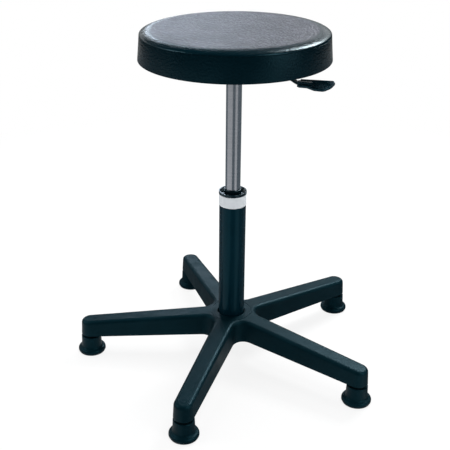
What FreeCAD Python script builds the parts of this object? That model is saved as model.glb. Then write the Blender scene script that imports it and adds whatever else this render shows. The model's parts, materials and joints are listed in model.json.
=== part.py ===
import FreeCAD, Part
import math
import os
import Sketcher

# Workshop seat: a round padded stool on a gas lift and a five-armed base.
# Millimetres, +Z up.  The origin is on the floor under the column's axis, the height lever
# points along +X, one arm of the base points along -Y, and the seat is at its top height.

SIZES = {
    # whole seat
    "seat_height": 650,
    "lift_stroke": 200,
    "fit_gap": 0.05,
    "running_gap": 0.1,
    "free_gap": 0.3,
    # glides under the arms
    "foot_circle_radius": 281.4,
    "arm_count": 5,
    "glide_radius": 27.25,
    "glide_height": 35.6,
    "glide_rim_height": 8.6,
    "glide_shoulder_height": 12.2,
    "glide_neck_radius": 20.2,
    "glide_top_radius": 19.3,
    "glide_top_edge": 0.8,
    "glide_edge": 1.75,
    "glide_edge_height": 3.5,
    "glide_rim_round": 5,
    "glide_neck_round": 4.5,
    "stem_radius": 5,
    "stem_depth": 26,
    "stem_rise": 21,
    "stem_flange_radius": 9,
    "stem_flange_thickness": 5.5,
    "stem_groove_depth": 0.7,
    "grip_ring_height": 4,
    "grip_ring_drop": 7,
    "stem_bore_gap": 0.5,
    # star base
    "arm_tip_width": 37.6,
    "arm_root_width": 45.7,
    "arm_tip_depth": 32,
    "arm_under_slope": 0.0397,
    "arm_draft": 3.5,
    "arm_start_radius": 10,
    "arm_top_round": 7,
    "web_round": 22,
    "hub_top_height": 93.8,
    "hub_flat_radius": 40,
    "hub_bottom_height": 38,
    "hub_radius": 34,
    "hub_mouth_radius": 27.1,
    "hub_mouth_depth": 6,
    "hub_groove_radius": 39.35,
    "hub_groove_width": 0.8,
    "hub_groove_depth": 0.8,
    "cell_count": 5,
    "cell_rib": 3,
    "cell_wall": 4,
    "cell_ceiling": 5,
    "cell_start_radius": 42,
    "cell_end_gap": 22,
    # stand tube
    "tube_diameter": 50,
    "tube_wall": 2.5,
    "tube_top_height": 348.2,
    "tube_taper": 0.027,
    "tube_foot_drop": 2,
    "end_plate_thickness": 4,
    "end_plate_hole": 4.4,
    # collar, bush and label at the top of the tube
    "collar_radius": 25.9,
    "collar_lip_height": 2.5,
    "collar_lip_width": 2.2,
    "collar_band_drop": 2.5,
    "collar_skirt_wall": 1.6,
    "collar_skirt_depth": 12,
    "bush_length": 79.5,
    "bush_recess_depth": 2.5,
    "bush_hump_height": 7.4,
    "bush_hump_radius": 16.2,
    "bush_hump_round": 1.2,
    "label_drop": 2.8,
    "label_height": 21.6,
    "label_thickness": 0.3,
    "label_wrap_angle": 320,
    "label_azimuth": 286,
    # bearing under the piston rod
    "race_radius": 13,
    "race_thickness": 2,
    "ball_radius": 1.5,
    "ball_pitch_radius": 10,
    "ball_count": 12,
    "ball_pocket_radius": 1.6,
    "cage_inner_radius": 7.5,
    "cage_outer_radius": 12.5,
    "cage_thickness": 2,
    # piston rod
    "rod_radius": 5,
    "rod_foot_radius": 4,
    "rod_tip_drop": 5,
    "rod_clip_thickness": 1.2,
    "rod_clip_radius": 7.5,
    "rod_clip_groove_depth": 0.8,
    "rod_washer_thickness": 1.5,
    "rod_washer_radius": 9,
    "buffer_radius": 16,
    "buffer_height": 15,
    "buffer_edge": 1.5,
    "piston_stop_gap": 12,
    "piston_thickness": 12,
    "piston_seal_height": 2.4,
    "piston_seal_depth": 1.4,
    "piston_stub_radius": 3.5,
    "piston_nut_thickness": 5,
    "piston_nut_across": 11,
    # gas cylinder
    "cylinder_diameter": 28,
    "cylinder_wall": 1.5,
    "cylinder_stop_gap": 1.8,
    "cylinder_lip": 2,
    "cylinder_taper_length": 28.5,
    "cylinder_taper_step": 0.8,
    "cylinder_top_drop": 10.5,
    "cylinder_end_thickness": 3,
    "cylinder_end_hole": 3.4,
    "rod_guide_length": 12,
    "rod_seal_length": 6,
    "inner_tube_bore": 10.9,
    "inner_tube_wall": 1,
    "valve_length": 43,
    "valve_radius": 11.6,
    "valve_seal_width": 2,
    "valve_seal_depth": 1,
    "valve_seal_pitch": 7,
    "valve_bore_drop": 33.5,
    "valve_pin_radius": 3,
    "valve_pin_length": 35,
    "valve_pin_edge": 1.5,
    # plate and housing under the seat
    "plate_length": 150,
    "plate_width": 110,
    "plate_corner": 10,
    "sheet_thickness": 3,
    "housing_length": 100,
    "housing_width": 56,
    "housing_depth": 29,
    "housing_corner": 6,
    "socket_radius": 18,
    "socket_length": 28,
    "slot_side_gap": 3,
    "slot_floor_gap": 1,
    "slot_rise": 3,
    # bolts through the plate
    "bolt_pitch_long": 120,
    "bolt_pitch_wide": 80,
    "bolt_radius": 4,
    "bolt_head_height": 5.3,
    "bolt_head_across": 13,
    "bolt_tip_gap": 1.5,
    "bolt_hole_gap": 0.5,
    "washer_radius": 8,
    "washer_thickness": 1.6,
    "tee_nut_wall": 1,
    "tee_nut_flange_radius": 11,
    "tee_nut_flange_thickness": 1.5,
    # seat
    "seat_thickness": 50.5,
    "seat_radius": 168,
    "seat_side_lean": 3.8,
    "seat_crown": 0.8,
    "shoulder_drop": 4.7,
    "shoulder_inset": 8.2,
    "shoulder_side_round": 4.3,
    "shoulder_top_round": 19,
    "seat_bottom_round": 0.8,
    "seam_drop": 8.1,
    "seam_width": 1,
    "seam_depth": 0.7,
    "board_inset": 18,
    "board_thickness": 10,
    # height lever
    "pivot_reach": 30,
    "pivot_drop": 11,
    "pivot_pin_radius": 2.5,
    "pivot_boss_radius": 5,
    "pivot_boss_width": 44,
    "pivot_clip_radius": 4.5,
    "pivot_clip_thickness": 1,
    "pivot_groove_depth": 0.6,
    "pivot_pin_end": 1.5,
    "bar_width": 10,
    "bar_thickness": 4,
    "bar_bend_round": 4,
    "nose_rise": 4.8,
    "nose_overhang": 3.5,
    "nose_flat_end": 14,
    "bar_bend_one": 28,
    "bar_bend_two": 78,
    "bar_bend_three": 111,
    "bar_tail_end": 132,
    "bar_drop_one": 13,
    "bar_drop_two": 18,
    "bar_drop_three": 36.6,
    # lever grip
    "grip_start": 113,
    "grip_neck_end": 138,
    "grip_neck_floor": 4.2,
    "grip_neck_roof": 1.3,
    "grip_neck_side": 1.2,
    "grip_neck_round": 1.1,
    "grip_plane_drop": 32.3,
    "grip_roll": 17,
    "grip_thickness": 6,
    "blade_start": 116,
    "blade_back_width": 8.6,
    "blade_waist": 130.5,
    "blade_waist_width": 12.2,
    "blade_belly_start": 144,
    "blade_belly_start_width": 18.4,
    "blade_belly_end": 161.5,
    "blade_belly_end_width": 18.7,
    "blade_side": 172,
    "blade_side_width": 7,
    "blade_tip": 176,
    "blade_tip_offset": 5.2,
    "blade_back_end": 172.2,
    "blade_back_end_width": 11.4,
    "blade_belly_round": 11,
    "blade_side_round": 14,
    "blade_tip_round": 3.5,
    "blade_rim_round": 1.2,
    "blade_under_round": 3,
    "dish_middle": 150,
    "dish_offset": 4,
    "dish_length": 20,
    "dish_width": 11.5,
    "dish_depth": 3.2,
}

doc = FreeCAD.newDocument("WorkshopSeat")
sheet = doc.addObject("Spreadsheet::Sheet", "Sizes")
for row, (name, value) in enumerate(SIZES.items(), start=1):
    sheet.set(f"A{row}", name)
    sheet.set(f"B{row}", str(value))
    sheet.setAlias(f"B{row}", name)
doc.recompute()


# Shared expressions, each written once and used by every piece that it places

SEAT_UNDER = "(Sizes.seat_height - Sizes.seat_thickness)"
BOARD_TOP = f"({SEAT_UNDER} + Sizes.board_thickness)"
BOARD_RADIUS = "(Sizes.seat_radius - Sizes.board_inset)"
PLATE_UNDER = f"({SEAT_UNDER} - Sizes.sheet_thickness)"
ARM_UNDER = "(Sizes.glide_height + Sizes.stem_flange_thickness)"
ARM_TIP_TOP = f"({ARM_UNDER} + Sizes.arm_tip_depth)"
TUBE_OUTER = "(Sizes.tube_diameter / 2)"
TUBE_INNER = f"({TUBE_OUTER} - Sizes.tube_wall)"
TUBE_FOOT = "(Sizes.hub_bottom_height - Sizes.tube_foot_drop)"
TAPER_TOP = "(Sizes.hub_top_height - Sizes.hub_mouth_depth)"
END_PLATE_TOP = f"({TUBE_FOOT} + Sizes.end_plate_thickness)"
LOWER_RACE_TOP = f"({END_PLATE_TOP} + Sizes.race_thickness)"
BALL_CENTRE = f"({LOWER_RACE_TOP} + Sizes.running_gap + Sizes.ball_radius)"
UPPER_RACE_UNDER = f"({BALL_CENTRE} + Sizes.ball_radius + Sizes.running_gap)"
ROD_SHOULDER = f"({UPPER_RACE_UNDER} + Sizes.race_thickness)"
WASHER_UNDER = f"({TUBE_FOOT} - Sizes.free_gap - Sizes.rod_washer_thickness)"
CLIP_UNDER = f"({WASHER_UNDER} - Sizes.rod_clip_thickness)"
BUFFER_TOP = f"({ROD_SHOULDER} + Sizes.buffer_height)"
CYLINDER_OUTER = "(Sizes.cylinder_diameter / 2)"
CYLINDER_INNER = f"({CYLINDER_OUTER} - Sizes.cylinder_wall)"
CYLINDER_TOP = f"({SEAT_UNDER} - Sizes.cylinder_top_drop)"
CYLINDER_CEILING = f"({CYLINDER_TOP} - Sizes.cylinder_end_thickness)"
CYLINDER_TAPER_START = f"({CYLINDER_TOP} - Sizes.cylinder_taper_length)"
CYLINDER_UNDER = f"({BUFFER_TOP} + Sizes.cylinder_stop_gap + Sizes.lift_stroke)"
ROD_GUIDE_UNDER = f"({CYLINDER_UNDER} + Sizes.cylinder_lip)"
ROD_SEAL_UNDER = f"({ROD_GUIDE_UNDER} + Sizes.rod_guide_length)"
INNER_TUBE_UNDER = f"({ROD_SEAL_UNDER} + Sizes.rod_seal_length)"
INNER_TUBE_OUTER = "(Sizes.inner_tube_bore + Sizes.inner_tube_wall)"
VALVE_UNDER = f"({CYLINDER_CEILING} - Sizes.valve_length)"
PISTON_UNDER = f"({INNER_TUBE_UNDER} + Sizes.piston_stop_gap)"
PISTON_TOP = f"({PISTON_UNDER} + Sizes.piston_thickness)"
PISTON_SEAL_MIDDLE = f"({PISTON_UNDER} + Sizes.piston_thickness / 2)"
PISTON_RADIUS = "(Sizes.inner_tube_bore - Sizes.running_gap)"
BUSH_BORE = f"({CYLINDER_OUTER} + Sizes.running_gap)"
SKIRT_INNER = f"({TUBE_INNER} - Sizes.fit_gap - Sizes.collar_skirt_wall)"
SKIRT_UNDER = "(Sizes.tube_top_height - Sizes.collar_skirt_depth)"
HOUSING_UNDER = f"({SEAT_UNDER} - Sizes.housing_depth)"
PIVOT_HEIGHT = f"({SEAT_UNDER} - Sizes.pivot_drop)"
NOSE_UNDER = f"({PIVOT_HEIGHT} + Sizes.nose_rise)"
PIN_TOP = f"({NOSE_UNDER} - Sizes.free_gap)"
BOLT_HOLE = "(Sizes.bolt_radius + Sizes.bolt_hole_gap)"
TEE_NUT_RADIUS = "(Sizes.bolt_radius + Sizes.fit_gap + Sizes.tee_nut_wall)"


def worked_out(expression):
    """The number that an expression of the sheet's sizes has now."""
    return float(sheet.evalExpression(expression))


def tube_outer_at(height):
    """Outer radius of the stand tube at a height in its taper."""
    return f"({TUBE_OUTER} - ({TAPER_TOP} - {height}) * Sizes.tube_taper)"


def cylinder_outer_at(height):
    """Outer radius of the gas cylinder at a height in its top taper."""
    taper = "Sizes.cylinder_taper_step / Sizes.cylinder_taper_length"
    return f"({CYLINDER_OUTER} - ({height} - {CYLINDER_TAPER_START}) * {taper})"


def new_body(name):
    body = doc.addObject("PartDesign::Body", name)
    body.Label = name
    return body


def origin_feature(body, role):
    return [feature for feature in body.Origin.OriginFeatures if feature.Role == role][0]


def add_sketch(body, name, plane, height=None):
    """A sketch on one of the body's own planes, moved along its normal by an expression."""
    sketch = body.newObject("Sketcher::SketchObject", name)
    sketch.AttachmentSupport = (origin_feature(body, plane), [""])
    sketch.MapMode = "FlatFace"
    if height:
        sketch.setExpression("AttachmentOffset.Base.z", height)
    return sketch


def bind(sketch, constraint, expression):
    index = sketch.addConstraint(constraint)
    sketch.setExpression(f"Constraints[{index}]", expression)


def place_corner(sketch, edge, corner, across, up):
    """Tie the start or end of an edge to two expressions, on the axis where one is 0."""
    if across == "0":
        sketch.addConstraint(Sketcher.Constraint("PointOnObject", edge, corner, -2))
    else:
        bind(sketch, Sketcher.Constraint("DistanceX", -1, 1, edge, corner, worked_out(across)), across)
    if up == "0":
        sketch.addConstraint(Sketcher.Constraint("PointOnObject", edge, corner, -1))
    else:
        bind(sketch, Sketcher.Constraint("DistanceY", -1, 1, edge, corner, worked_out(up)), up)


def draw_outline(sketch, corners, crowned=None):
    """A closed outline through corners given as pairs of expressions.

    The edge numbered crowned is an arc whose centre is on the sketch's vertical axis."""
    places = [FreeCAD.Vector(worked_out(across), worked_out(up), 0) for across, up in corners]
    first = sketch.GeometryCount
    count = len(corners)
    for number, start in enumerate(places):
        end = places[(number + 1) % count]
        if number == crowned:
            rise = abs(end.y - start.y)
            reach = abs(end.x - start.x)
            radius = (reach ** 2 + rise ** 2) / (2 * rise)
            top = max(start.y, end.y)
            circle = Part.Circle(FreeCAD.Vector(0, top - radius, 0), FreeCAD.Vector(0, 0, 1), radius)
            edge = Part.ArcOfCircle(circle, circle.parameter(start), circle.parameter(end))
        else:
            edge = Part.LineSegment(start, end)
        sketch.addGeometry(edge, False)
    for number in range(count):
        after = (number + 1) % count
        sketch.addConstraint(Sketcher.Constraint("Coincident", first + number, 2, first + after, 1))
    for number, (across, up) in enumerate(corners):
        place_corner(sketch, first + number, 1, across, up)
    if crowned is not None:
        sketch.addConstraint(Sketcher.Constraint("PointOnObject", first + crowned, 3, -2))


def draw_circle(sketch, radius, across="0", up="0"):
    number = sketch.GeometryCount
    middle = FreeCAD.Vector(worked_out(across), worked_out(up), 0)
    sketch.addGeometry(Part.Circle(middle, FreeCAD.Vector(0, 0, 1), worked_out(radius)), False)
    bind(sketch, Sketcher.Constraint("Radius", number, worked_out(radius)), radius)
    place_corner(sketch, number, 3, across, up)


def box_corners(left, right, low, high):
    return [(left, low), (right, low), (right, high), (left, high)]


def revolve(body, name, corners, kind="Revolution", crowned=None):
    """Turn an outline of (radius, height) corners about the body's Z axis."""
    sketch = add_sketch(body, f"{name}_outline", "XZ_Plane")
    draw_outline(sketch, corners, crowned)
    feature = body.newObject(f"PartDesign::{kind}", name)
    feature.Profile = sketch
    feature.ReferenceAxis = (sketch, ["V_Axis"])
    feature.Angle = 360
    doc.recompute()
    return feature


def turned(name, corners, crowned=None):
    """A piece made on a lathe."""
    body = new_body(name)
    revolve(body, f"{name}_turning", corners, crowned=crowned)
    return body


def pad(body, name, sketch, length, upward=True, midplane=False):
    feature = body.newObject("PartDesign::Pad", name)
    feature.Profile = sketch
    feature.setExpression("Length", length)
    feature.Reversed = not upward
    feature.Midplane = midplane
    doc.recompute()
    return feature


def pocket(body, name, sketch, length, upward=True, midplane=False):
    feature = body.newObject("PartDesign::Pocket", name)
    feature.Profile = sketch
    feature.setExpression("Length", length)
    feature.Reversed = upward
    feature.Midplane = midplane
    doc.recompute()
    return feature


def repeat_round(body, name, features, count):
    """Copies of some features round the body's Z axis."""
    pattern = body.newObject("PartDesign::PolarPattern", name)
    pattern.Originals = features
    pattern.Axis = (origin_feature(body, "Z_Axis"), [""])
    pattern.Angle = 360
    pattern.setExpression("Occurrences", count)
    body.Tip = pattern
    doc.recompute()
    return pattern


def round_off(body, name, base, wanted, radius):
    """Fillet the edges of a feature that a test picks."""
    names = [f"Edge{n}" for n, edge in enumerate(base.Shape.Edges, start=1) if wanted(edge)]
    fillet = body.newObject("PartDesign::Fillet", name)
    fillet.Base = (base, names)
    fillet.setExpression("Radius", radius)
    body.Tip = fillet
    doc.recompute()
    return fillet


def circle_at(radius, height):
    """A test for the circular edge with a radius and height given as expressions."""
    near = 0.01
    wanted_radius = worked_out(radius)
    wanted_height = worked_out(height)

    def test(edge):
        box = edge.BoundBox
        round_edge = abs(box.XMax - wanted_radius) < near and abs(box.XMin + wanted_radius) < near
        return round_edge and abs(box.ZMin - wanted_height) < near and abs(box.ZMax - wanted_height) < near

    return test


def foot_direction(number):
    """Direction of an arm of the base as an expression: the first one is the front arm."""
    return f"(270deg + {number} * 360deg / Sizes.arm_count)"


def turn_to_front(body):
    """The base's pieces are drawn along +X and turned so that their first arm is the front one."""
    body.Placement = FreeCAD.Placement(FreeCAD.Vector(), FreeCAD.Rotation(FreeCAD.Vector(0, 0, 1), 0))
    body.setExpression("Placement.Rotation.Angle", foot_direction(0))


# Base

def arm_half_width(reach):
    """Half the arm's width at the height of its underside, at a distance from the axis."""
    taper = f"(Sizes.arm_root_width - Sizes.arm_tip_width) * (1 - {reach} / Sizes.foot_circle_radius)"
    return f"((Sizes.arm_tip_width + {taper}) / 2)"


def draw_arm(sketch):
    """Plan of one arm along +X: two sides that flare to the hub and a half-round end."""
    reach = "Sizes.foot_circle_radius"
    start = "Sizes.arm_start_radius"
    tip = "(Sizes.arm_tip_width / 2)"
    root = arm_half_width(start)
    far = worked_out(reach)
    near = worked_out(start)
    end_radius = worked_out(tip)
    half_root = worked_out(root)
    lean = math.asin((half_root - end_radius) / (far - near))
    touch = FreeCAD.Vector(far + end_radius * math.sin(lean), -end_radius * math.cos(lean), 0)
    end = Part.Circle(FreeCAD.Vector(far, 0, 0), FreeCAD.Vector(0, 0, 1), end_radius)
    mirror = FreeCAD.Vector(touch.x, -touch.y, 0)
    sketch.addGeometry(Part.LineSegment(FreeCAD.Vector(near, -half_root, 0), touch), False)
    sketch.addGeometry(Part.ArcOfCircle(end, -math.pi / 2 + lean, math.pi / 2 - lean), False)
    sketch.addGeometry(Part.LineSegment(mirror, FreeCAD.Vector(near, half_root, 0)), False)
    sketch.addGeometry(
        Part.LineSegment(FreeCAD.Vector(near, half_root, 0), FreeCAD.Vector(near, -half_root, 0)), False)
    sketch.addConstraint([
        Sketcher.Constraint("Tangent", 0, 2, 1, 1),
        Sketcher.Constraint("Tangent", 1, 2, 2, 1),
        Sketcher.Constraint("Coincident", 2, 2, 3, 1),
        Sketcher.Constraint("Coincident", 3, 2, 0, 1),
        Sketcher.Constraint("Symmetric", 3, 1, 3, 2, -1),
        Sketcher.Constraint("PointOnObject", 1, 3, -1)])
    bind(sketch, Sketcher.Constraint("DistanceX", -1, 1, 1, 3, far), reach)
    bind(sketch, Sketcher.Constraint("Radius", 1, end_radius), tip)
    bind(sketch, Sketcher.Constraint("DistanceX", -1, 1, 3, 2, near), start)
    bind(sketch, Sketcher.Constraint("DistanceY", 3, 2, 3, 1, 2 * half_root), f"2 * {root}")


def cut_cells(body, top_slope, top_at_axis):
    """Ribbed hollows in the underside of each arm, two abreast, under a ceiling along the arm's top."""
    first = "Sizes.cell_start_radius"
    last = "(Sizes.foot_circle_radius - Sizes.cell_end_gap)"
    step = f"(({last} - {first} + Sizes.cell_rib) / Sizes.cell_count)"
    thinning = "(Sizes.arm_tip_depth * tan(Sizes.arm_draft * 1deg) + Sizes.cell_wall)"
    lean = f"atan({top_slope})"
    sketch = add_sketch(body, "cell_plan", "XY_Plane")
    tilt = FreeCAD.Rotation(FreeCAD.Vector(0, 1, 0), worked_out(lean))
    sketch.AttachmentOffset = FreeCAD.Placement(FreeCAD.Vector(), tilt)
    sketch.setExpression("AttachmentOffset.Rotation.Angle", lean)
    sketch.setExpression("AttachmentOffset.Base.z", f"{top_at_axis} - Sizes.cell_ceiling")
    for number in range(int(worked_out("Sizes.cell_count"))):
        near = f"({first} + {number} * {step})"
        far = f"({near} + {step} - Sizes.cell_rib)"
        for side in ("1", "-1"):
            inner = f"({side} * Sizes.cell_rib / 2)"
            wide_near = f"({side} * ({arm_half_width(near)} - {thinning}))"
            wide_far = f"({side} * ({arm_half_width(far)} - {thinning}))"
            draw_outline(sketch, [(near, inner), (far, inner), (far, wide_far), (near, wide_near)])
    cells = pocket(body, "cells", sketch, "Sizes.hub_top_height - Sizes.hub_bottom_height", upward=False)
    repeat_round(body, "cells_of_all_arms", [cells], "Sizes.arm_count")


def star_base():
    body = new_body("star_base")
    turn_to_front(body)
    plan = add_sketch(body, "arm_plan", "XY_Plane", ARM_UNDER)
    draw_arm(plan)
    clear = "Sizes.hub_mouth_depth"
    arm = pad(body, "arm", plan, f"Sizes.hub_top_height + {clear} - {ARM_UNDER}")
    arm.setExpression("TaperAngle", "-Sizes.arm_draft")
    arms = repeat_round(body, "arms", [arm], "Sizes.arm_count")

    # round the inner corners between neighbouring arms
    def inner_corner(edge):
        ends = [vertex.Point for vertex in edge.Vertexes]
        upright = len(ends) == 2 and abs(ends[0].z - ends[1].z) > worked_out("Sizes.arm_tip_depth")
        spread = [math.hypot(point.x, point.y) for point in ends]
        outside = worked_out("Sizes.arm_root_width / 2")
        return upright and min(spread) > outside and max(spread) < 2 * outside

    round_off(body, "webs", arms, inner_corner, "Sizes.web_round")

    # sloping underside and sloping top, both cut as cones
    reach = "Sizes.foot_circle_radius"
    low = f"({ARM_UNDER} - Sizes.stem_flange_thickness)"
    rise = f"{ARM_UNDER} + {reach} * Sizes.arm_under_slope"
    revolve(body, "underside", [("0", low), (reach, low), (reach, ARM_UNDER), ("0", rise)], "Groove")
    slope = f"(Sizes.hub_top_height - {ARM_TIP_TOP}) / ({reach} - Sizes.hub_flat_radius)"
    peak = f"(Sizes.hub_top_height + Sizes.hub_flat_radius * {slope})"
    outside = f"({reach} + Sizes.arm_tip_width)"
    outside_top = f"{ARM_TIP_TOP} - Sizes.arm_tip_width * {slope}"
    above = f"(Sizes.hub_top_height + 2 * {clear})"
    top = revolve(body, "arm_tops", [("0", peak), (outside, outside_top), (outside, above), ("0", above)],
                  "Groove")
    lowest = worked_out(outside_top)

    def top_outline(edge):
        box = edge.BoundBox
        spread = max(math.hypot(vertex.X, vertex.Y) for vertex in edge.Vertexes)
        return box.ZMin > lowest and spread > worked_out("Sizes.hub_flat_radius")

    round_off(body, "top_edges", top, top_outline, "Sizes.arm_top_round")
    hub_top = "Sizes.hub_top_height"
    revolve(body, "hub_flat", box_corners("0", outside, hub_top, above), "Groove")

    # hub round the tube, its tapered bore and the fine ring round its mouth
    hub_low = "Sizes.hub_bottom_height"
    revolve(body, "hub", box_corners(tube_outer_at(hub_low), "Sizes.hub_radius", hub_low, TAPER_TOP))
    revolve(body, "hub_bore", [
        ("0", TUBE_FOOT), (tube_outer_at(TUBE_FOOT), TUBE_FOOT), (TUBE_OUTER, TAPER_TOP),
        ("Sizes.hub_mouth_radius", hub_top), ("Sizes.hub_mouth_radius", above), ("0", above)], "Groove")
    ring_inner = "Sizes.hub_groove_radius - Sizes.hub_groove_width / 2"
    ring_outer = "Sizes.hub_groove_radius + Sizes.hub_groove_width / 2"
    ring_floor = "Sizes.hub_top_height - Sizes.hub_groove_depth"
    revolve(body, "hub_ring", box_corners(ring_inner, ring_outer, ring_floor, above), "Groove")

    # bores for the glide stems
    bore_plan = add_sketch(body, "stem_bore_plan", "XY_Plane", low)
    draw_circle(bore_plan, "Sizes.stem_radius + Sizes.stem_bore_gap", reach)
    bore = pocket(body, "stem_bore", bore_plan,
                  "Sizes.stem_flange_thickness + Sizes.stem_rise + Sizes.cell_rib")
    repeat_round(body, "stem_bores", [bore], "Sizes.arm_count")
    cut_cells(body, slope, peak)


def glides():
    """Bell-shaped feet, one node each."""
    for number in range(int(worked_out("Sizes.arm_count"))):
        name = f"glide_{number + 1}"
        body = turned(name, [
            ("0", "0"), ("Sizes.glide_radius - Sizes.glide_edge", "0"),
            ("Sizes.glide_radius", "Sizes.glide_edge_height"),
            ("Sizes.glide_radius", "Sizes.glide_rim_height"),
            ("Sizes.glide_neck_radius", "Sizes.glide_shoulder_height"),
            ("Sizes.glide_top_radius", "Sizes.glide_height - Sizes.glide_top_edge"),
            ("Sizes.glide_top_radius - Sizes.glide_top_edge", "Sizes.glide_height"),
            ("Sizes.stem_radius + Sizes.fit_gap", "Sizes.glide_height"),
            ("Sizes.stem_radius + Sizes.fit_gap", "Sizes.glide_height - Sizes.stem_depth"),
            ("0", "Sizes.glide_height - Sizes.stem_depth")])
        rim = circle_at("Sizes.glide_radius", "Sizes.glide_rim_height")
        rounded = round_off(body, f"{name}_rim", body.Tip, rim, "Sizes.glide_rim_round")
        neck = circle_at("Sizes.glide_neck_radius", "Sizes.glide_shoulder_height")
        round_off(body, f"{name}_neck", rounded, neck, "Sizes.glide_neck_round")
        direction = foot_direction(number)
        body.setExpression("Placement.Base.x", f"Sizes.foot_circle_radius * cos({direction})")
        body.setExpression("Placement.Base.y", f"Sizes.foot_circle_radius * sin({direction})")


def ring_of_turnings(name, corners):
    """One node with the same small turned piece at every foot."""
    body = new_body(name)
    turn_to_front(body)
    sketch = add_sketch(body, f"{name}_outline", "XZ_Plane")
    moved = [(f"Sizes.foot_circle_radius + {radius}", height) for radius, height in corners]
    draw_outline(sketch, moved)
    axis = sketch.GeometryCount
    reach = worked_out("Sizes.foot_circle_radius")
    sketch.addGeometry(Part.LineSegment(FreeCAD.Vector(reach, 0, 0), FreeCAD.Vector(reach, 1, 0)), True)
    sketch.addConstraint(Sketcher.Constraint("Vertical", axis))
    sketch.addConstraint(Sketcher.Constraint("PointOnObject", axis, 1, -1))
    bind(sketch, Sketcher.Constraint("DistanceY", axis, 1, axis, 2, 1), "Sizes.glide_height")
    bind(sketch, Sketcher.Constraint("DistanceX", -1, 1, axis, 1, reach), "Sizes.foot_circle_radius")
    turning = body.newObject("PartDesign::Revolution", f"{name}_turning")
    turning.Profile = sketch
    turning.ReferenceAxis = (sketch, ["Axis0"])
    turning.Angle = 360
    doc.recompute()
    repeat_round(body, f"{name}_at_all_feet", [turning], "Sizes.arm_count")
    return body


def glide_fixings():
    """Steel stems moulded into the glides, and the spring rings that hold them in the arms."""
    low = "Sizes.glide_height - Sizes.stem_depth"
    top = f"{ARM_UNDER} + Sizes.stem_rise"
    ring_top = f"({top} - Sizes.grip_ring_drop)"
    ring_low = f"({ring_top} - Sizes.grip_ring_height)"
    groove = "Sizes.stem_radius - Sizes.stem_groove_depth"
    ring_of_turnings("glide_stems", [
        ("0", low), ("Sizes.stem_radius", low), ("Sizes.stem_radius", "Sizes.glide_height"),
        ("Sizes.stem_flange_radius", "Sizes.glide_height"), ("Sizes.stem_flange_radius", ARM_UNDER),
        ("Sizes.stem_radius", ARM_UNDER), ("Sizes.stem_radius", ring_low), (groove, ring_low),
        (groove, ring_top), ("Sizes.stem_radius", ring_top), ("Sizes.stem_radius", top), ("0", top)])
    ring_inner = f"{groove} + Sizes.fit_gap"
    ring_outer = "Sizes.stem_radius + Sizes.stem_bore_gap - Sizes.fit_gap"
    ring_of_turnings("glide_grip_rings", box_corners(ring_inner, ring_outer, ring_low, ring_top))


# Stand tube with its end plate, bush, collar and blank label

def stand_tube():
    foot_outer = tube_outer_at(TUBE_FOOT)
    turned("stand_tube", [
        (foot_outer, TUBE_FOOT), (TUBE_OUTER, TAPER_TOP), (TUBE_OUTER, "Sizes.tube_top_height"),
        (TUBE_INNER, "Sizes.tube_top_height"), (TUBE_INNER, TAPER_TOP),
        (f"{foot_outer} - Sizes.tube_wall", TUBE_FOOT)])


def tube_end_plate():
    turned("tube_end_plate", [
        ("Sizes.end_plate_hole", TUBE_FOOT), (f"{tube_outer_at(TUBE_FOOT)} - Sizes.tube_wall", TUBE_FOOT),
        (f"{tube_outer_at(END_PLATE_TOP)} - Sizes.tube_wall", END_PLATE_TOP),
        ("Sizes.end_plate_hole", END_PLATE_TOP)])


def guide_bush():
    """Long plastic bush that guides the gas cylinder, with a hump that stands above the rim."""
    top = "Sizes.tube_top_height"
    recess = f"{top} - Sizes.bush_recess_depth"
    hump = f"{top} + Sizes.bush_hump_height"
    body = turned("guide_bush", [
        (BUSH_BORE, f"{top} - Sizes.bush_length"),
        (f"{TUBE_INNER} - Sizes.fit_gap", f"{top} - Sizes.bush_length"),
        (f"{TUBE_INNER} - Sizes.fit_gap", SKIRT_UNDER), (f"{SKIRT_INNER} - Sizes.fit_gap", SKIRT_UNDER),
        (f"{SKIRT_INNER} - Sizes.fit_gap", recess), ("Sizes.bush_hump_radius", recess),
        ("Sizes.bush_hump_radius", hump), (BUSH_BORE, hump)])
    edge = circle_at("Sizes.bush_hump_radius", hump)
    round_off(body, "hump_edge", body.Tip, edge, "Sizes.bush_hump_round")


def tube_collar():
    """Plastic cap on the tube's rim: a short band round the outside and a skirt that lines the tube."""
    rim = "Sizes.tube_top_height"
    top = f"{rim} + Sizes.collar_lip_height"
    band_low = f"{rim} - Sizes.collar_band_drop"
    band_inner = f"{TUBE_OUTER} + Sizes.fit_gap"
    lip_inner = "Sizes.collar_radius - Sizes.collar_lip_width"
    turned("tube_collar", [
        (SKIRT_INNER, SKIRT_UNDER), (f"{TUBE_INNER} - Sizes.fit_gap", SKIRT_UNDER),
        (f"{TUBE_INNER} - Sizes.fit_gap", rim), (band_inner, rim), (band_inner, band_low),
        ("Sizes.collar_radius", band_low), ("Sizes.collar_radius", top), (lip_inner, top),
        (SKIRT_INNER, rim)])


def column_label():
    """Blank label wrapped round the tube under its collar, open at the back."""
    body = new_body("column_label")
    sketch = add_sketch(body, "label_outline", "XZ_Plane")
    inner = f"({TUBE_OUTER} + Sizes.fit_gap)"
    top = "(Sizes.tube_top_height - Sizes.label_drop)"
    draw_outline(sketch, box_corners(
        inner, f"{inner} + Sizes.label_thickness", f"{top} - Sizes.label_height", top))
    wrap = body.newObject("PartDesign::Revolution", "label_wrap")
    wrap.Profile = sketch
    wrap.ReferenceAxis = (sketch, ["V_Axis"])
    wrap.setExpression("Angle", "Sizes.label_wrap_angle")
    wrap.Midplane = True
    body.Placement = FreeCAD.Placement(FreeCAD.Vector(), FreeCAD.Rotation(FreeCAD.Vector(0, 0, 1), 0))
    body.setExpression("Placement.Rotation.Angle", "Sizes.label_azimuth * 1deg")
    doc.recompute()


# Thrust bearing that lets the seat turn

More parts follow.
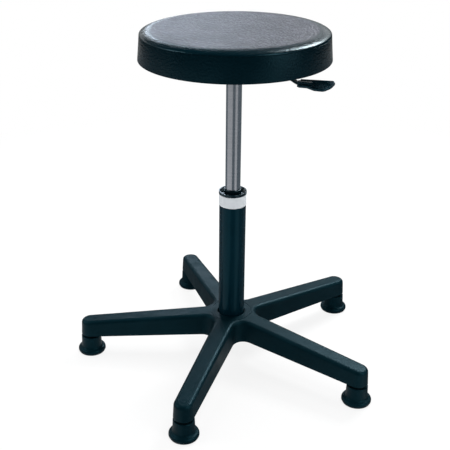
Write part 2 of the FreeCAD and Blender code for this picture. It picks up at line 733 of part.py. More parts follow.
def bearing():
    turned("lower_bearing_race", box_corners(
        "Sizes.end_plate_hole", "Sizes.race_radius", END_PLATE_TOP, LOWER_RACE_TOP))
    turned("upper_bearing_race", box_corners(
        "Sizes.rod_foot_radius + Sizes.fit_gap", "Sizes.race_radius", UPPER_RACE_UNDER, ROD_SHOULDER))
    cage_low = f"({BALL_CENTRE} - Sizes.cage_thickness / 2)"
    cage = turned("bearing_cage", box_corners(
        "Sizes.cage_inner_radius", "Sizes.cage_outer_radius",
        cage_low, f"{cage_low} + Sizes.cage_thickness"))
    pocket_plan = add_sketch(cage, "ball_pocket_plan", "XY_Plane", cage_low)
    draw_circle(pocket_plan, "Sizes.ball_pocket_radius", "Sizes.ball_pitch_radius")
    ball_pocket = pocket(cage, "ball_pocket", pocket_plan, "Sizes.cage_thickness")
    repeat_round(cage, "ball_pockets", [ball_pocket], "Sizes.ball_count")
    balls = new_body("bearing_balls")
    ball = balls.newObject("PartDesign::AdditiveSphere", "ball")
    ball.AttachmentSupport = (origin_feature(balls, "XY_Plane"), [""])
    ball.MapMode = "FlatFace"
    ball.setExpression("Radius", "Sizes.ball_radius")
    ball.setExpression("AttachmentOffset.Base.x", "Sizes.ball_pitch_radius")
    ball.setExpression("AttachmentOffset.Base.z", BALL_CENTRE)
    doc.recompute()
    repeat_round(balls, "ring_of_balls", [ball], "Sizes.ball_count")


# Piston rod, which turns with the seat but does not rise

def piston_rod():
    foot = "Sizes.rod_foot_radius"
    groove = "Sizes.rod_foot_radius - Sizes.rod_clip_groove_depth"
    low = f"{TUBE_FOOT} - Sizes.rod_tip_drop"
    stub_top = f"{PISTON_TOP} + Sizes.piston_nut_thickness"
    turned("piston_rod", [
        ("0", low), (foot, low), (foot, CLIP_UNDER), (groove, CLIP_UNDER), (groove, WASHER_UNDER),
        (foot, WASHER_UNDER), (foot, ROD_SHOULDER), ("Sizes.rod_radius", ROD_SHOULDER),
        ("Sizes.rod_radius", PISTON_UNDER), ("Sizes.piston_stub_radius", PISTON_UNDER),
        ("Sizes.piston_stub_radius", stub_top), ("0", stub_top)])


def rod_fixings():
    turned("rod_washer", box_corners(
        "Sizes.rod_foot_radius + Sizes.fit_gap", "Sizes.rod_washer_radius", WASHER_UNDER,
        f"{WASHER_UNDER} + Sizes.rod_washer_thickness"))
    turned("rod_clip", box_corners(
        "Sizes.rod_foot_radius - Sizes.rod_clip_groove_depth + Sizes.fit_gap", "Sizes.rod_clip_radius",
        CLIP_UNDER, WASHER_UNDER))
    top = BUFFER_TOP
    turned("rod_buffer", [
        ("Sizes.rod_radius + Sizes.fit_gap", ROD_SHOULDER), ("Sizes.buffer_radius", ROD_SHOULDER),
        ("Sizes.buffer_radius", f"{top} - Sizes.buffer_edge"),
        ("Sizes.buffer_radius - Sizes.buffer_edge", top),
        ("Sizes.rod_radius + Sizes.fit_gap", top)])


def piston():
    bore = "Sizes.piston_stub_radius + Sizes.fit_gap"
    groove = f"{PISTON_RADIUS} - Sizes.piston_seal_depth"
    seal_low = f"{PISTON_SEAL_MIDDLE} - Sizes.piston_seal_height / 2"
    seal_top = f"{PISTON_SEAL_MIDDLE} + Sizes.piston_seal_height / 2"
    turned("piston", [
        (bore, PISTON_UNDER), (PISTON_RADIUS, PISTON_UNDER), (PISTON_RADIUS, seal_low),
        (groove, seal_low), (groove, seal_top), (PISTON_RADIUS, seal_top), (PISTON_RADIUS, PISTON_TOP),
        (bore, PISTON_TOP)])
    turned("piston_seal", box_corners(
        f"{groove} + Sizes.fit_gap", "Sizes.inner_tube_bore - Sizes.fit_gap", seal_low, seal_top))
    nut = new_body("piston_nut")
    plan = add_sketch(nut, "nut_plan", "XY_Plane", PISTON_TOP)
    draw_hexagon(plan, "Sizes.piston_nut_across", "0", "0")
    draw_circle(plan, bore)
    pad(nut, "nut", plan, "Sizes.piston_nut_thickness")


def draw_hexagon(sketch, across_flats, across, up):
    """A hexagon about a point, with two corners on the sketch's horizontal."""
    corners = []
    for number in range(6):
        reach = f"{across_flats} / 2 / cos(30deg)"
        corners.append((
            f"({across}) + {reach} * cos({60 * number}deg + 30deg)",
            f"({up}) + {reach} * sin({60 * number}deg + 30deg)"))
    draw_outline(sketch, corners)


# Gas cylinder, which carries the seat

def pressure_cylinder():
    """Ground steel tube with a rolled lip below and a tapered, closed end above."""
    low = CYLINDER_UNDER
    lip_inner = f"{CYLINDER_INNER} - Sizes.cylinder_wall"
    turned("pressure_cylinder", [
        (lip_inner, low), (CYLINDER_OUTER, low), (CYLINDER_OUTER, CYLINDER_TAPER_START),
        (cylinder_outer_at(CYLINDER_TOP), CYLINDER_TOP), ("Sizes.cylinder_end_hole", CYLINDER_TOP),
        ("Sizes.cylinder_end_hole", CYLINDER_CEILING),
        (f"{cylinder_outer_at(CYLINDER_CEILING)} - Sizes.cylinder_wall", CYLINDER_CEILING),
        (CYLINDER_INNER, CYLINDER_TAPER_START), (CYLINDER_INNER, ROD_GUIDE_UNDER),
        (lip_inner, ROD_GUIDE_UNDER)])


def cylinder_insides():
    rod_bore = "Sizes.rod_radius + Sizes.running_gap"
    outside = f"{CYLINDER_INNER} - Sizes.fit_gap"
    turned("cylinder_guide", box_corners(rod_bore, outside, ROD_GUIDE_UNDER, ROD_SEAL_UNDER))
    turned("rod_seal", box_corners(rod_bore, outside, ROD_SEAL_UNDER, INNER_TUBE_UNDER))
    turned("inner_tube", box_corners(
        "Sizes.inner_tube_bore", INNER_TUBE_OUTER, INNER_TUBE_UNDER, VALVE_UNDER))


def valve():
    """Valve block in the cylinder's top, its two sealing rings and the pin that opens it."""
    outer = "Sizes.valve_radius"
    groove = "(Sizes.valve_radius - Sizes.valve_seal_depth)"
    pin_bore = "(Sizes.valve_pin_radius + Sizes.running_gap)"
    bore_floor = f"{CYLINDER_CEILING} - Sizes.valve_bore_drop"
    corners = [("0", VALVE_UNDER), (outer, VALVE_UNDER)]
    seals = new_body("valve_seals")
    for number in range(1, 3):
        low = f"({VALVE_UNDER} + {number} * Sizes.valve_seal_pitch - Sizes.valve_seal_width)"
        top = f"({low} + Sizes.valve_seal_width)"
        corners += [(outer, low), (groove, low), (groove, top), (outer, top)]
        revolve(seals, f"seal_{number}", box_corners(
            f"{groove} + Sizes.fit_gap", f"{CYLINDER_INNER} - Sizes.fit_gap", low, top))
    corners += [(outer, CYLINDER_CEILING), (pin_bore, CYLINDER_CEILING)]
    corners += [(pin_bore, bore_floor), ("0", bore_floor)]
    turned("valve_body", corners)
    pin_low = f"{PIN_TOP} - Sizes.valve_pin_length"
    turned("valve_pin", [
        ("0", pin_low), ("Sizes.valve_pin_radius", pin_low),
        ("Sizes.valve_pin_radius", f"{PIN_TOP} - Sizes.valve_pin_edge"),
        ("Sizes.valve_pin_radius - Sizes.valve_pin_edge", PIN_TOP), ("0", PIN_TOP)])


# Plate, housing and socket under the seat

def centred_box(length, width):
    return box_corners(f"-({length}) / 2", f"({length}) / 2", f"-({width}) / 2", f"({width}) / 2")


def upright_edges(length, width):
    """A test for the upright edges at the corners of a centred box."""
    half_length = worked_out(length) / 2
    half_width = worked_out(width) / 2
    near = 0.01

    def test(edge):
        box = edge.BoundBox
        thin = box.XLength < near and box.YLength < near
        return thin and abs(abs(box.XMax) - half_length) < near and abs(abs(box.YMax) - half_width) < near

    return test


def bolt_places():
    """The four bolts' places as pairs of expressions."""
    long_half = "Sizes.bolt_pitch_long / 2"
    wide_half = "Sizes.bolt_pitch_wide / 2"
    return [(f"{x} * {long_half}", f"{y} * {wide_half}") for x in ("1", "-1") for y in ("1", "-1")]


def seat_housing():
    """Pressed steel mounting plate with a box below it that holds the socket and the lever."""
    body = new_body("seat_housing")
    plan = add_sketch(body, "plate_plan", "XY_Plane", PLATE_UNDER)
    draw_outline(plan, centred_box("Sizes.plate_length", "Sizes.plate_width"))
    for across, up in bolt_places():
        draw_circle(plan, BOLT_HOLE, across, up)
    plate = pad(body, "plate", plan, "Sizes.sheet_thickness")
    corners = upright_edges("Sizes.plate_length", "Sizes.plate_width")
    round_off(body, "plate_corners", plate, corners, "Sizes.plate_corner")
    outer_plan = add_sketch(body, "box_plan", "XY_Plane", HOUSING_UNDER)
    draw_outline(outer_plan, centred_box("Sizes.housing_length", "Sizes.housing_width"))
    box = pad(body, "box", outer_plan, "Sizes.housing_depth - Sizes.sheet_thickness")
    corners = upright_edges("Sizes.housing_length", "Sizes.housing_width")
    round_off(body, "box_corners", box, corners, "Sizes.housing_corner")
    inner_length = "Sizes.housing_length - 2 * Sizes.sheet_thickness"
    inner_width = "Sizes.housing_width - 2 * Sizes.sheet_thickness"
    inner_plan = add_sketch(body, "inside_plan", "XY_Plane", f"{HOUSING_UNDER} + Sizes.sheet_thickness")
    draw_outline(inner_plan, centred_box(inner_length, inner_width))
    inside = pocket(body, "inside", inner_plan, "Sizes.housing_depth")
    corners = upright_edges(inner_length, inner_width)
    round_off(body, "inside_corners", inside, corners, "Sizes.housing_corner - Sizes.sheet_thickness")
    socket_plan = add_sketch(body, "socket_hole_plan", "XY_Plane", HOUSING_UNDER)
    draw_circle(socket_plan, "Sizes.socket_radius + Sizes.fit_gap")
    pocket(body, "socket_hole", socket_plan, "Sizes.sheet_thickness")
    slot_plan = add_sketch(body, "slot_plan", "YZ_Plane")
    half_slot = "(Sizes.bar_width / 2 + Sizes.slot_side_gap)"
    slot_low = f"{SEAT_UNDER} - Sizes.bar_drop_two - Sizes.slot_floor_gap"
    slot_top = f"{SEAT_UNDER} - Sizes.bar_drop_one + Sizes.bar_thickness + Sizes.slot_rise"
    draw_outline(slot_plan, box_corners(f"-{half_slot}", half_slot, slot_low, slot_top))
    pocket(body, "slot", slot_plan, "Sizes.housing_length")
    pivot_plan = add_sketch(body, "pivot_hole_plan", "XZ_Plane")
    draw_circle(pivot_plan, "Sizes.pivot_pin_radius + Sizes.fit_gap", "Sizes.pivot_reach", PIVOT_HEIGHT)
    pocket(body, "pivot_holes", pivot_plan, "Sizes.plate_width", midplane=True)


def taper_socket():
    """Steel sleeve in the housing, bored to the cylinder's taper."""
    low = CYLINDER_TAPER_START
    top = f"({low} + Sizes.socket_length)"
    turned("taper_socket", [
        (cylinder_outer_at(low), low), ("Sizes.socket_radius", low), ("Sizes.socket_radius", top),
        (cylinder_outer_at(top), top)])


# Seat

def seat_board():
    body = new_body("seat_board")
    plan = add_sketch(body, "board_plan", "XY_Plane", SEAT_UNDER)
    draw_circle(plan, BOARD_RADIUS)
    for across, up in bolt_places():
        draw_circle(plan, f"{TEE_NUT_RADIUS} + Sizes.fit_gap", across, up)
    pad(body, "board", plan, "Sizes.board_thickness")
    sunk = f"{BOARD_TOP} - Sizes.tee_nut_flange_thickness"
    sunk_plan = add_sketch(body, "sunk_plan", "XY_Plane", sunk)
    for across, up in bolt_places():
        draw_circle(sunk_plan, "Sizes.tee_nut_flange_radius + Sizes.fit_gap", across, up)
    pocket(body, "sunk_seats", sunk_plan, "Sizes.tee_nut_flange_thickness")


def seat_pad():
    """Upholstered pad: a nearly flat top, a soft shoulder with a fine seam under it, sides drawn in."""
    low = SEAT_UNDER
    top = "Sizes.seat_height"
    recess = f"{BOARD_RADIUS} + Sizes.fit_gap"
    side_top = "(Sizes.seat_radius - Sizes.seat_side_lean)"
    shoulder_low = "(Sizes.seat_height - Sizes.shoulder_drop)"
    panel = f"({side_top} - Sizes.shoulder_inset)"
    panel_edge = "(Sizes.seat_height - Sizes.seat_crown)"
    body = turned("seat_pad", [
        (recess, low), ("Sizes.seat_radius", low), (side_top, shoulder_low), (panel, panel_edge),
        ("0", top), ("0", BOARD_TOP), (recess, BOARD_TOP)], crowned=3)
    upper = round_off(
        body, "shoulder_top", body.Tip, circle_at(panel, panel_edge), "Sizes.shoulder_top_round")
    side = round_off(
        body, "shoulder_side", upper, circle_at(side_top, shoulder_low), "Sizes.shoulder_side_round")
    round_off(body, "lower_edge", side, circle_at("Sizes.seat_radius", low), "Sizes.seat_bottom_round")
    seam = "(Sizes.seat_height - Sizes.seam_drop)"
    lean = "Sizes.seat_side_lean / (Sizes.seat_thickness - Sizes.shoulder_drop)"
    seam_radius = f"(Sizes.seat_radius - ({seam} - {SEAT_UNDER}) * {lean})"
    revolve(body, "seam", [
        (f"{seam_radius} - Sizes.seam_depth", seam),
        (f"{seam_radius} + Sizes.seam_depth", f"{seam} - Sizes.seam_width"),
        (f"{seam_radius} + Sizes.seam_depth", f"{seam} + Sizes.seam_width")], "Groove")


def plate_fixings():
    """Four bolts from below, their washers, and the tee nuts sunk in the board."""
    bolts = new_body("plate_bolts")
    head_top = f"({PLATE_UNDER} - Sizes.washer_thickness)"
    head_plan = add_sketch(bolts, "head_plan", "XY_Plane", head_top)
    shank_plan = add_sketch(bolts, "shank_plan", "XY_Plane", head_top)
    washers = new_body("plate_washers")
    washer_plan = add_sketch(washers, "washer_plan", "XY_Plane", head_top)
    nuts = new_body("tee_nuts")
    flange_plan = add_sketch(
        nuts, "flange_plan", "XY_Plane", f"{BOARD_TOP} - Sizes.tee_nut_flange_thickness")
    barrel_plan = add_sketch(nuts, "barrel_plan", "XY_Plane", SEAT_UNDER)
    nut_bore = "Sizes.bolt_radius + Sizes.fit_gap"
    for across, up in bolt_places():
        draw_hexagon(head_plan, "Sizes.bolt_head_across", across, up)
        draw_circle(shank_plan, "Sizes.bolt_radius", across, up)
        draw_circle(washer_plan, "Sizes.washer_radius", across, up)
        draw_circle(washer_plan, BOLT_HOLE, across, up)
        draw_circle(flange_plan, "Sizes.tee_nut_flange_radius", across, up)
        draw_circle(flange_plan, nut_bore, across, up)
        draw_circle(barrel_plan, TEE_NUT_RADIUS, across, up)
        draw_circle(barrel_plan, nut_bore, across, up)
    pad(bolts, "heads", head_plan, "Sizes.bolt_head_height", upward=False)
    pad(bolts, "shanks", shank_plan, f"{BOARD_TOP} - Sizes.bolt_tip_gap - {head_top}")
    pad(washers, "washers", washer_plan, "Sizes.washer_thickness")
    pad(nuts, "flanges", flange_plan, "Sizes.tee_nut_flange_thickness")
    pad(nuts, "barrels", barrel_plan, "Sizes.board_thickness - Sizes.tee_nut_flange_thickness")


# Height lever

def pivot_pin():
    """Pin across the housing, grooved near both ends for its clips."""
    wall = "(Sizes.housing_width / 2)"
    clip_start = f"({wall} + Sizes.free_gap)"
    clip_end = f"({clip_start} + Sizes.pivot_clip_thickness)"
    end = f"({clip_end} + Sizes.pivot_pin_end)"
    groove = "Sizes.pivot_pin_radius - Sizes.pivot_groove_depth"
    full = "Sizes.pivot_pin_radius"
    body = new_body("pivot_pin")
    clips = new_body("pivot_clips")
    pin_plan = add_sketch(body, "pin_plan", "XZ_Plane")
    draw_circle(pin_plan, full, "Sizes.pivot_reach", PIVOT_HEIGHT)
    pad(body, "pin", pin_plan, f"2 * {end}", midplane=True)
    for side, toward in (("near", True), ("far", False)):
        sign = "" if toward else "-"
        ring_plan = add_sketch(body, f"{side}_groove_plan", "XZ_Plane", f"{sign}{clip_start}")
        draw_circle(ring_plan, f"{full} + Sizes.free_gap", "Sizes.pivot_reach", PIVOT_HEIGHT)
        draw_circle(ring_plan, groove, "Sizes.pivot_reach", PIVOT_HEIGHT)
        pocket(body, f"{side}_groove", ring_plan, "Sizes.pivot_clip_thickness", upward=toward)
        clip_plan = add_sketch(clips, f"{side}_clip_plan", "XZ_Plane", f"{sign}{clip_start}")
        draw_circle(clip_plan, "Sizes.pivot_clip_radius", "Sizes.pivot_reach", PIVOT_HEIGHT)
        draw_circle(clip_plan, f"{groove} + Sizes.fit_gap", "Sizes.pivot_reach", PIVOT_HEIGHT)
        pad(clips, f"{side}_clip", clip_plan, "Sizes.pivot_clip_thickness", upward=toward)


def bar_underside():
    """Corners of the bar's lower face from its nose over the valve pin to its tail in the grip."""
    return [
        ("-Sizes.nose_overhang", NOSE_UNDER),
        ("Sizes.nose_flat_end", NOSE_UNDER),
        ("Sizes.bar_bend_one", f"{SEAT_UNDER} - Sizes.bar_drop_one"),
        ("Sizes.bar_bend_two", f"{SEAT_UNDER} - Sizes.bar_drop_two"),
        ("Sizes.bar_bend_three", f"{SEAT_UNDER} - Sizes.bar_drop_three"),
        ("Sizes.bar_tail_end", f"{SEAT_UNDER} - Sizes.bar_drop_three")]


def draw_bar(sketch):
    """Side view of a bent flat bar: its upper face runs parallel to the lower one, one thickness away."""
    lower = bar_underside()
    places = [FreeCAD.Vector(worked_out(across), worked_out(up), 0) for across, up in lower]
    thick = FreeCAD.Vector(0, worked_out("Sizes.bar_thickness"), 0)
    runs = len(lower) - 1
    for start, end in zip(places, places[1:]):
        sketch.addGeometry(Part.LineSegment(start, end), False)
    for start, end in zip(places, places[1:]):
        sketch.addGeometry(Part.LineSegment(start + thick, end + thick), False)
    sketch.addGeometry(Part.LineSegment(places[0], places[0] + thick), False)
    sketch.addGeometry(Part.LineSegment(places[-1], places[-1] + thick), False)
    nose = 2 * runs
    tail = nose + 1
    for run in range(runs):
        place_corner(sketch, run, 1, *lower[run])
        sketch.addConstraint(Sketcher.Constraint("Parallel", run, runs + run))
        bind(sketch, Sketcher.Constraint("Distance", runs + run, 1, run, thick.y), "Sizes.bar_thickness")
    place_corner(sketch, runs - 1, 2, *lower[-1])
    for run in range(runs - 1):
        sketch.addConstraint(Sketcher.Constraint("Coincident", run, 2, run + 1, 1))
        sketch.addConstraint(Sketcher.Constraint("Coincident", runs + run, 2, runs + run + 1, 1))
    sketch.addConstraint([
        Sketcher.Constraint("Coincident", nose, 1, 0, 1),
        Sketcher.Constraint("Coincident", nose, 2, runs, 1),
        Sketcher.Constraint("Coincident", tail, 1, runs - 1, 2),
        Sketcher.Constraint("Coincident", tail, 2, 2 * runs - 1, 2),
        Sketcher.Constraint("Vertical", nose),
        Sketcher.Constraint("Vertical", tail)])


def lever_bar():
    body = new_body("lever_bar")
    side = add_sketch(body, "bar_side", "XZ_Plane")
    draw_bar(side)
    bar = pad(body, "bar", side, "Sizes.bar_width", midplane=True)
    first = worked_out("Sizes.nose_overhang")
    last = worked_out("Sizes.bar_tail_end")

    def bend(edge):
        box = edge.BoundBox
        across = box.XLength < 0.01 and box.ZLength < 0.01
        return across and -first + 0.01 < box.XMin and box.XMax < last - 0.01

    round_off(body, "bends", bar, bend, "Sizes.bar_bend_round")
    boss_plan = add_sketch(body, "boss_plan", "XZ_Plane")
    draw_circle(boss_plan, "Sizes.pivot_boss_radius", "Sizes.pivot_reach", PIVOT_HEIGHT)
    pad(body, "boss", boss_plan, "Sizes.pivot_boss_width", midplane=True)
    bore_plan = add_sketch(body, "pivot_bore_plan", "XZ_Plane")
    draw_circle(bore_plan, "Sizes.pivot_pin_radius + Sizes.running_gap", "Sizes.pivot_reach", PIVOT_HEIGHT)
    pocket(body, "pivot_bore", bore_plan, "2 * Sizes.pivot_boss_width", midplane=True)


def roll_about_lever(feature):
    """Lay a feature in the blade's plane, which is rolled about the lever's length."""
    roll = FreeCAD.Rotation(FreeCAD.Vector(1, 0, 0), worked_out("Sizes.grip_roll"))
    feature.AttachmentOffset = FreeCAD.Placement(FreeCAD.Vector(), roll)
    feature.setExpression("AttachmentOffset.Rotation.Angle", "Sizes.grip_roll * 1deg")
    feature.setExpression("AttachmentOffset.Base.z", f"{SEAT_UNDER} - Sizes.grip_plane_drop")


def blade_corner(reach, offset):
    """A test for the blade's upright edge at a corner of its outline."""
    angle = math.radians(worked_out("Sizes.grip_roll"))
    wanted_reach = worked_out(reach)
    wanted_y = worked_out(offset) * math.cos(angle)
    slack = worked_out("Sizes.grip_thickness") * math.sin(angle) + 0.01

    def test(edge):
        box = edge.BoundBox
        at_the_tip = box.XLength < 0.01 and abs(box.XMax - wanted_reach) < 0.01
        return at_the_tip and abs(box.YMin - wanted_y) < slack

    return test


def blade_rim(upper):
    """A test for the outline of the blade's upper or lower face."""
    angle = math.radians(worked_out("Sizes.grip_roll"))
    level = worked_out(f"{SEAT_UNDER} - Sizes.grip_plane_drop")
    depth = 0 if upper else worked_out("Sizes.grip_thickness")

    def test(edge):
        heights = [(point.z - level) * math.cos(angle) - point.y * math.sin(angle)
                   for point in edge.discretize(5)]
        return all(abs(height + depth) < 0.01 for height in heights)

    return test


def lever_grip():
    """Moulded paddle: a neck sleeved over the bar and a cupped blade that bellies to the front."""
    body = new_body("lever_grip")
    blade_plan = add_sketch(body, "blade_plan", "XY_Plane")
    roll_about_lever(blade_plan)
    belly_start = ("Sizes.blade_belly_start", "-Sizes.blade_belly_start_width")
    belly_end = ("Sizes.blade_belly_end", "-Sizes.blade_belly_end_width")
    side = ("Sizes.blade_side", "-Sizes.blade_side_width")
    tip = ("Sizes.blade_tip", "Sizes.blade_tip_offset")
    back_end = ("Sizes.blade_back_end", "Sizes.blade_back_end_width")
    draw_outline(blade_plan, [
        ("Sizes.blade_start", "Sizes.blade_back_width"), ("Sizes.blade_start", "-Sizes.blade_waist_width"),
        ("Sizes.blade_waist", "-Sizes.blade_waist_width"), belly_start, belly_end, side, tip, back_end])
    blade = pad(body, "blade", blade_plan, "Sizes.grip_thickness", upward=False)
    for name, corner, radius in (
            ("belly_start", belly_start, "Sizes.blade_belly_round"),
            ("belly_end", belly_end, "Sizes.blade_belly_round"),
            ("side", side, "Sizes.blade_side_round"),
            ("tip", tip, "Sizes.blade_tip_round"),
            ("back_end", back_end, "Sizes.blade_tip_round")):
        blade = round_off(body, f"{name}_corner", blade, blade_corner(*corner), radius)
    blade = round_off(body, "blade_rim", blade, blade_rim(True), "Sizes.blade_rim_round")
    round_off(body, "blade_under", blade, blade_rim(False), "Sizes.blade_under_round")
    dish = body.newObject("PartDesign::SubtractiveEllipsoid", "dish")
    dish.AttachmentSupport = (origin_feature(body, "XY_Plane"), [""])
    dish.MapMode = "FlatFace"
    roll_about_lever(dish)
    dish.setExpression("AttachmentOffset.Base.x", "Sizes.dish_middle")
    dish.setExpression("AttachmentOffset.Base.y", "-Sizes.dish_offset")
    dish.setExpression("Radius1", "Sizes.dish_depth")
    dish.setExpression("Radius2", "Sizes.dish_length")
    dish.setExpression("Radius3", "Sizes.dish_width")

    bar_low = f"({SEAT_UNDER} - Sizes.bar_drop_three)"
    bar_top = f"({bar_low} + Sizes.bar_thickness)"
    half_neck = "(Sizes.bar_width / 2 + Sizes.grip_neck_side)"
    neck_low = f"({bar_low} - Sizes.grip_neck_floor)"
    neck_top = f"({bar_top} + Sizes.grip_neck_roof)"
    neck_end = add_sketch(body, "neck_end", "YZ_Plane", "Sizes.grip_start")
    draw_outline(neck_end, box_corners(f"-{half_neck}", half_neck, neck_low, neck_top))
    neck = pad(body, "neck", neck_end, "Sizes.grip_neck_end - Sizes.grip_start")
    start = worked_out("Sizes.grip_start")
    clear_of_blade = worked_out("Sizes.blade_start")

    def neck_edge(edge):
        box = edge.BoundBox
        lengthwise = box.XLength > 1 and box.YLength < 0.01 and box.ZLength < 0.01
        return lengthwise and abs(box.XMin - start) < 0.01 and box.XMax > clear_of_blade - 0.01

    round_off(body, "neck_edges", neck, neck_edge, "Sizes.grip_neck_round")
    socket_plan = add_sketch(body, "bar_socket_plan", "YZ_Plane", "Sizes.grip_start")
    half = "(Sizes.bar_width / 2 + Sizes.fit_gap)"
    draw_outline(socket_plan, box_corners(
        f"-{half}", half, f"{bar_low} - Sizes.fit_gap", f"{bar_top} + Sizes.fit_gap"))
    pocket(body, "bar_socket", socket_plan, "Sizes.bar_tail_end + Sizes.free_gap - Sizes.grip_start")


star_base()
glides()
glide_fixings()
stand_tube()
tube_end_plate()
guide_bush()
tube_collar()
column_label()
bearing()
piston_rod()
rod_fixings()
piston()
pressure_cylinder()
cylinder_insides()
valve()
seat_housing()
taper_socket()
seat_board()
seat_pad()
plate_fixings()
pivot_pin()
lever_bar()
lever_grip()
doc.recompute()

# Check every object of the document before anything is written
pieces = [item for item in doc.Objects if item.TypeId == "PartDesign::Body"]
faults = [item.Name for item in doc.Objects if "Invalid" in item.State or "Error" in item.State]
faults += [piece.Label for piece in pieces if piece.Shape.isNull() or not piece.Shape.isValid()]
if faults:
    raise RuntimeError(f"these did not build: {faults}")

os.makedirs("parts", exist_ok=True)
for piece in pieces:
    piece.Shape.exportStep(f"parts/{piece.Label}.step")
    solids = len(piece.Shape.Solids)
    print(f"{piece.Label}: {solids} solid(s), {piece.Shape.Volume / 1000:.2f} cm3")
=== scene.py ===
# %% [markdown]
# # A round workshop seat on a gas lift
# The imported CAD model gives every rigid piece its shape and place.  This lesson dresses it: it
# models the firm seat pad, gives each material its grain and gloss, and sets up the camera, the
# pale floor and the soft light of a product photograph.

# %% Load the frame
import json
import math
import bmesh
import bpy
from mathutils import Matrix, Vector


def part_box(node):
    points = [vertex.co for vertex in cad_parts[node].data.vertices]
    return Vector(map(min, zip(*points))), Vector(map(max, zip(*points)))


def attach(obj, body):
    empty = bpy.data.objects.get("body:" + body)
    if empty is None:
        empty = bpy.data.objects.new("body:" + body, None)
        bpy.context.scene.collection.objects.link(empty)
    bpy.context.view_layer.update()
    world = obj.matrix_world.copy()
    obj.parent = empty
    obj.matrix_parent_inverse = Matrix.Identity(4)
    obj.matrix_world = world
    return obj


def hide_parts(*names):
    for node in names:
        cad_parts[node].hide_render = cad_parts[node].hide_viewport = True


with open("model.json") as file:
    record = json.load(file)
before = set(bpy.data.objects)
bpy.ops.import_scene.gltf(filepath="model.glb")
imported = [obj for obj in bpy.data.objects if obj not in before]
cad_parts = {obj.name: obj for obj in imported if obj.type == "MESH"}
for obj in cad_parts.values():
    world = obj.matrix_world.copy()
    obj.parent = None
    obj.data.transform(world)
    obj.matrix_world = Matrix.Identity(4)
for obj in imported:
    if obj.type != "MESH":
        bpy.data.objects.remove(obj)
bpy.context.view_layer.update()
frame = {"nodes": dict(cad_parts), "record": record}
nodes = frame["nodes"]
print("nodes in the frame:", len(nodes))

# %% [markdown]
# ## Sizes taken from the frame
# A piece fits only if it reads its size from its neighbours.  The pad's radius and heights come
# from the box of its CAD solid, and the rest of this lesson works in metres like the frame does.

# %% Sizes
MILLIMETRE = 0.001
pad_low, pad_high = [Vector(corner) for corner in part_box("seat_pad")]
board_low, board_high = [Vector(corner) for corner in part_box("seat_board")]
PAD_RADIUS = (pad_high.x - pad_low.x) / 2
PAD_BOTTOM = pad_low.z
PAD_TOP = pad_high.z
BOARD_RADIUS = (board_high.x - board_low.x) / 2
BOARD_TOP = board_high.z
print("pad radius, bottom and top:", round(PAD_RADIUS, 4), round(PAD_BOTTOM, 4), round(PAD_TOP, 4))

# %% [markdown]
# ## Camera
# A photograph's perspective is fixed by where the camera stands, so the camera comes first.  The
# distance, height and lens were found by fitting circles to the feet, the tube and the seat.
# A small turn about the view's own axis and a small sideways shift keep the object where the
# photograph has it in its square frame.

# %% Camera
CAMERA_DISTANCE = 1.4506
CAMERA_HEIGHT = 0.9693
CAMERA_AZIMUTH = math.radians(-73.55)
CAMERA_YAW = math.radians(-3.029)
CAMERA_PITCH = math.radians(-25.436)
CAMERA_ROLL = math.radians(-0.563)
CAMERA_LENS = 67.98
CAMERA_SHIFT = 0.0739


def on_circle(radius, azimuth, height):
    """The point at an angle and a height on a circle round the column."""
    return Vector((radius * math.cos(azimuth), radius * math.sin(azimuth), height))


def add_camera():
    """A camera that looks at the column from the front, a little above the seat."""
    heading = CAMERA_AZIMUTH + math.pi - CAMERA_YAW
    look = on_circle(math.cos(CAMERA_PITCH), heading, math.sin(CAMERA_PITCH))
    level_right = look.cross(Vector((0, 0, 1))).normalized()
    level_up = level_right.cross(look)
    right = math.cos(CAMERA_ROLL) * level_right + math.sin(CAMERA_ROLL) * level_up
    up = math.cos(CAMERA_ROLL) * level_up - math.sin(CAMERA_ROLL) * level_right
    turn = Matrix((right, up, -look)).transposed()
    data = bpy.data.cameras.new("photo_camera")
    data.lens = CAMERA_LENS
    data.shift_x = CAMERA_SHIFT
    camera = bpy.data.objects.new("photo_camera", data)
    camera.location = on_circle(CAMERA_DISTANCE, CAMERA_AZIMUTH, CAMERA_HEIGHT)
    camera.rotation_euler = turn.to_euler()
    bpy.context.scene.collection.objects.link(camera)
    bpy.context.scene.camera = camera
    return camera


camera = add_camera()
print("camera stands at", [round(value, 3) for value in camera.location])

# %% [markdown]
# ## Background
# A product is usually photographed on white paper.  A brighter world would give that white too, but
# would also burn out the pale label.  So the world is white where the camera, a gloss or a clear
# surface looks at it, and dimmer as a light.

# %% World
AMBIENT = 0.32
DAYLIGHT = (0.93, 0.97, 1.0, 1)
WHITE = (1, 1, 1, 1)


def seen_directly(tree):
    """1 for rays from the camera, a gloss or a clear surface, and 0 for the rays that light things."""
    path = tree.nodes.new("ShaderNodeLightPath")
    either = tree.nodes.new("ShaderNodeMath")
    either.operation = "MAXIMUM"
    tree.links.new(path.outputs["Is Camera Ray"], either.inputs[0])
    tree.links.new(path.outputs["Is Glossy Ray"], either.inputs[1])
    any_of = tree.nodes.new("ShaderNodeMath")
    any_of.operation = "MAXIMUM"
    tree.links.new(either.outputs[0], any_of.inputs[0])
    tree.links.new(path.outputs["Is Transmission Ray"], any_of.inputs[1])
    return any_of.outputs[0]


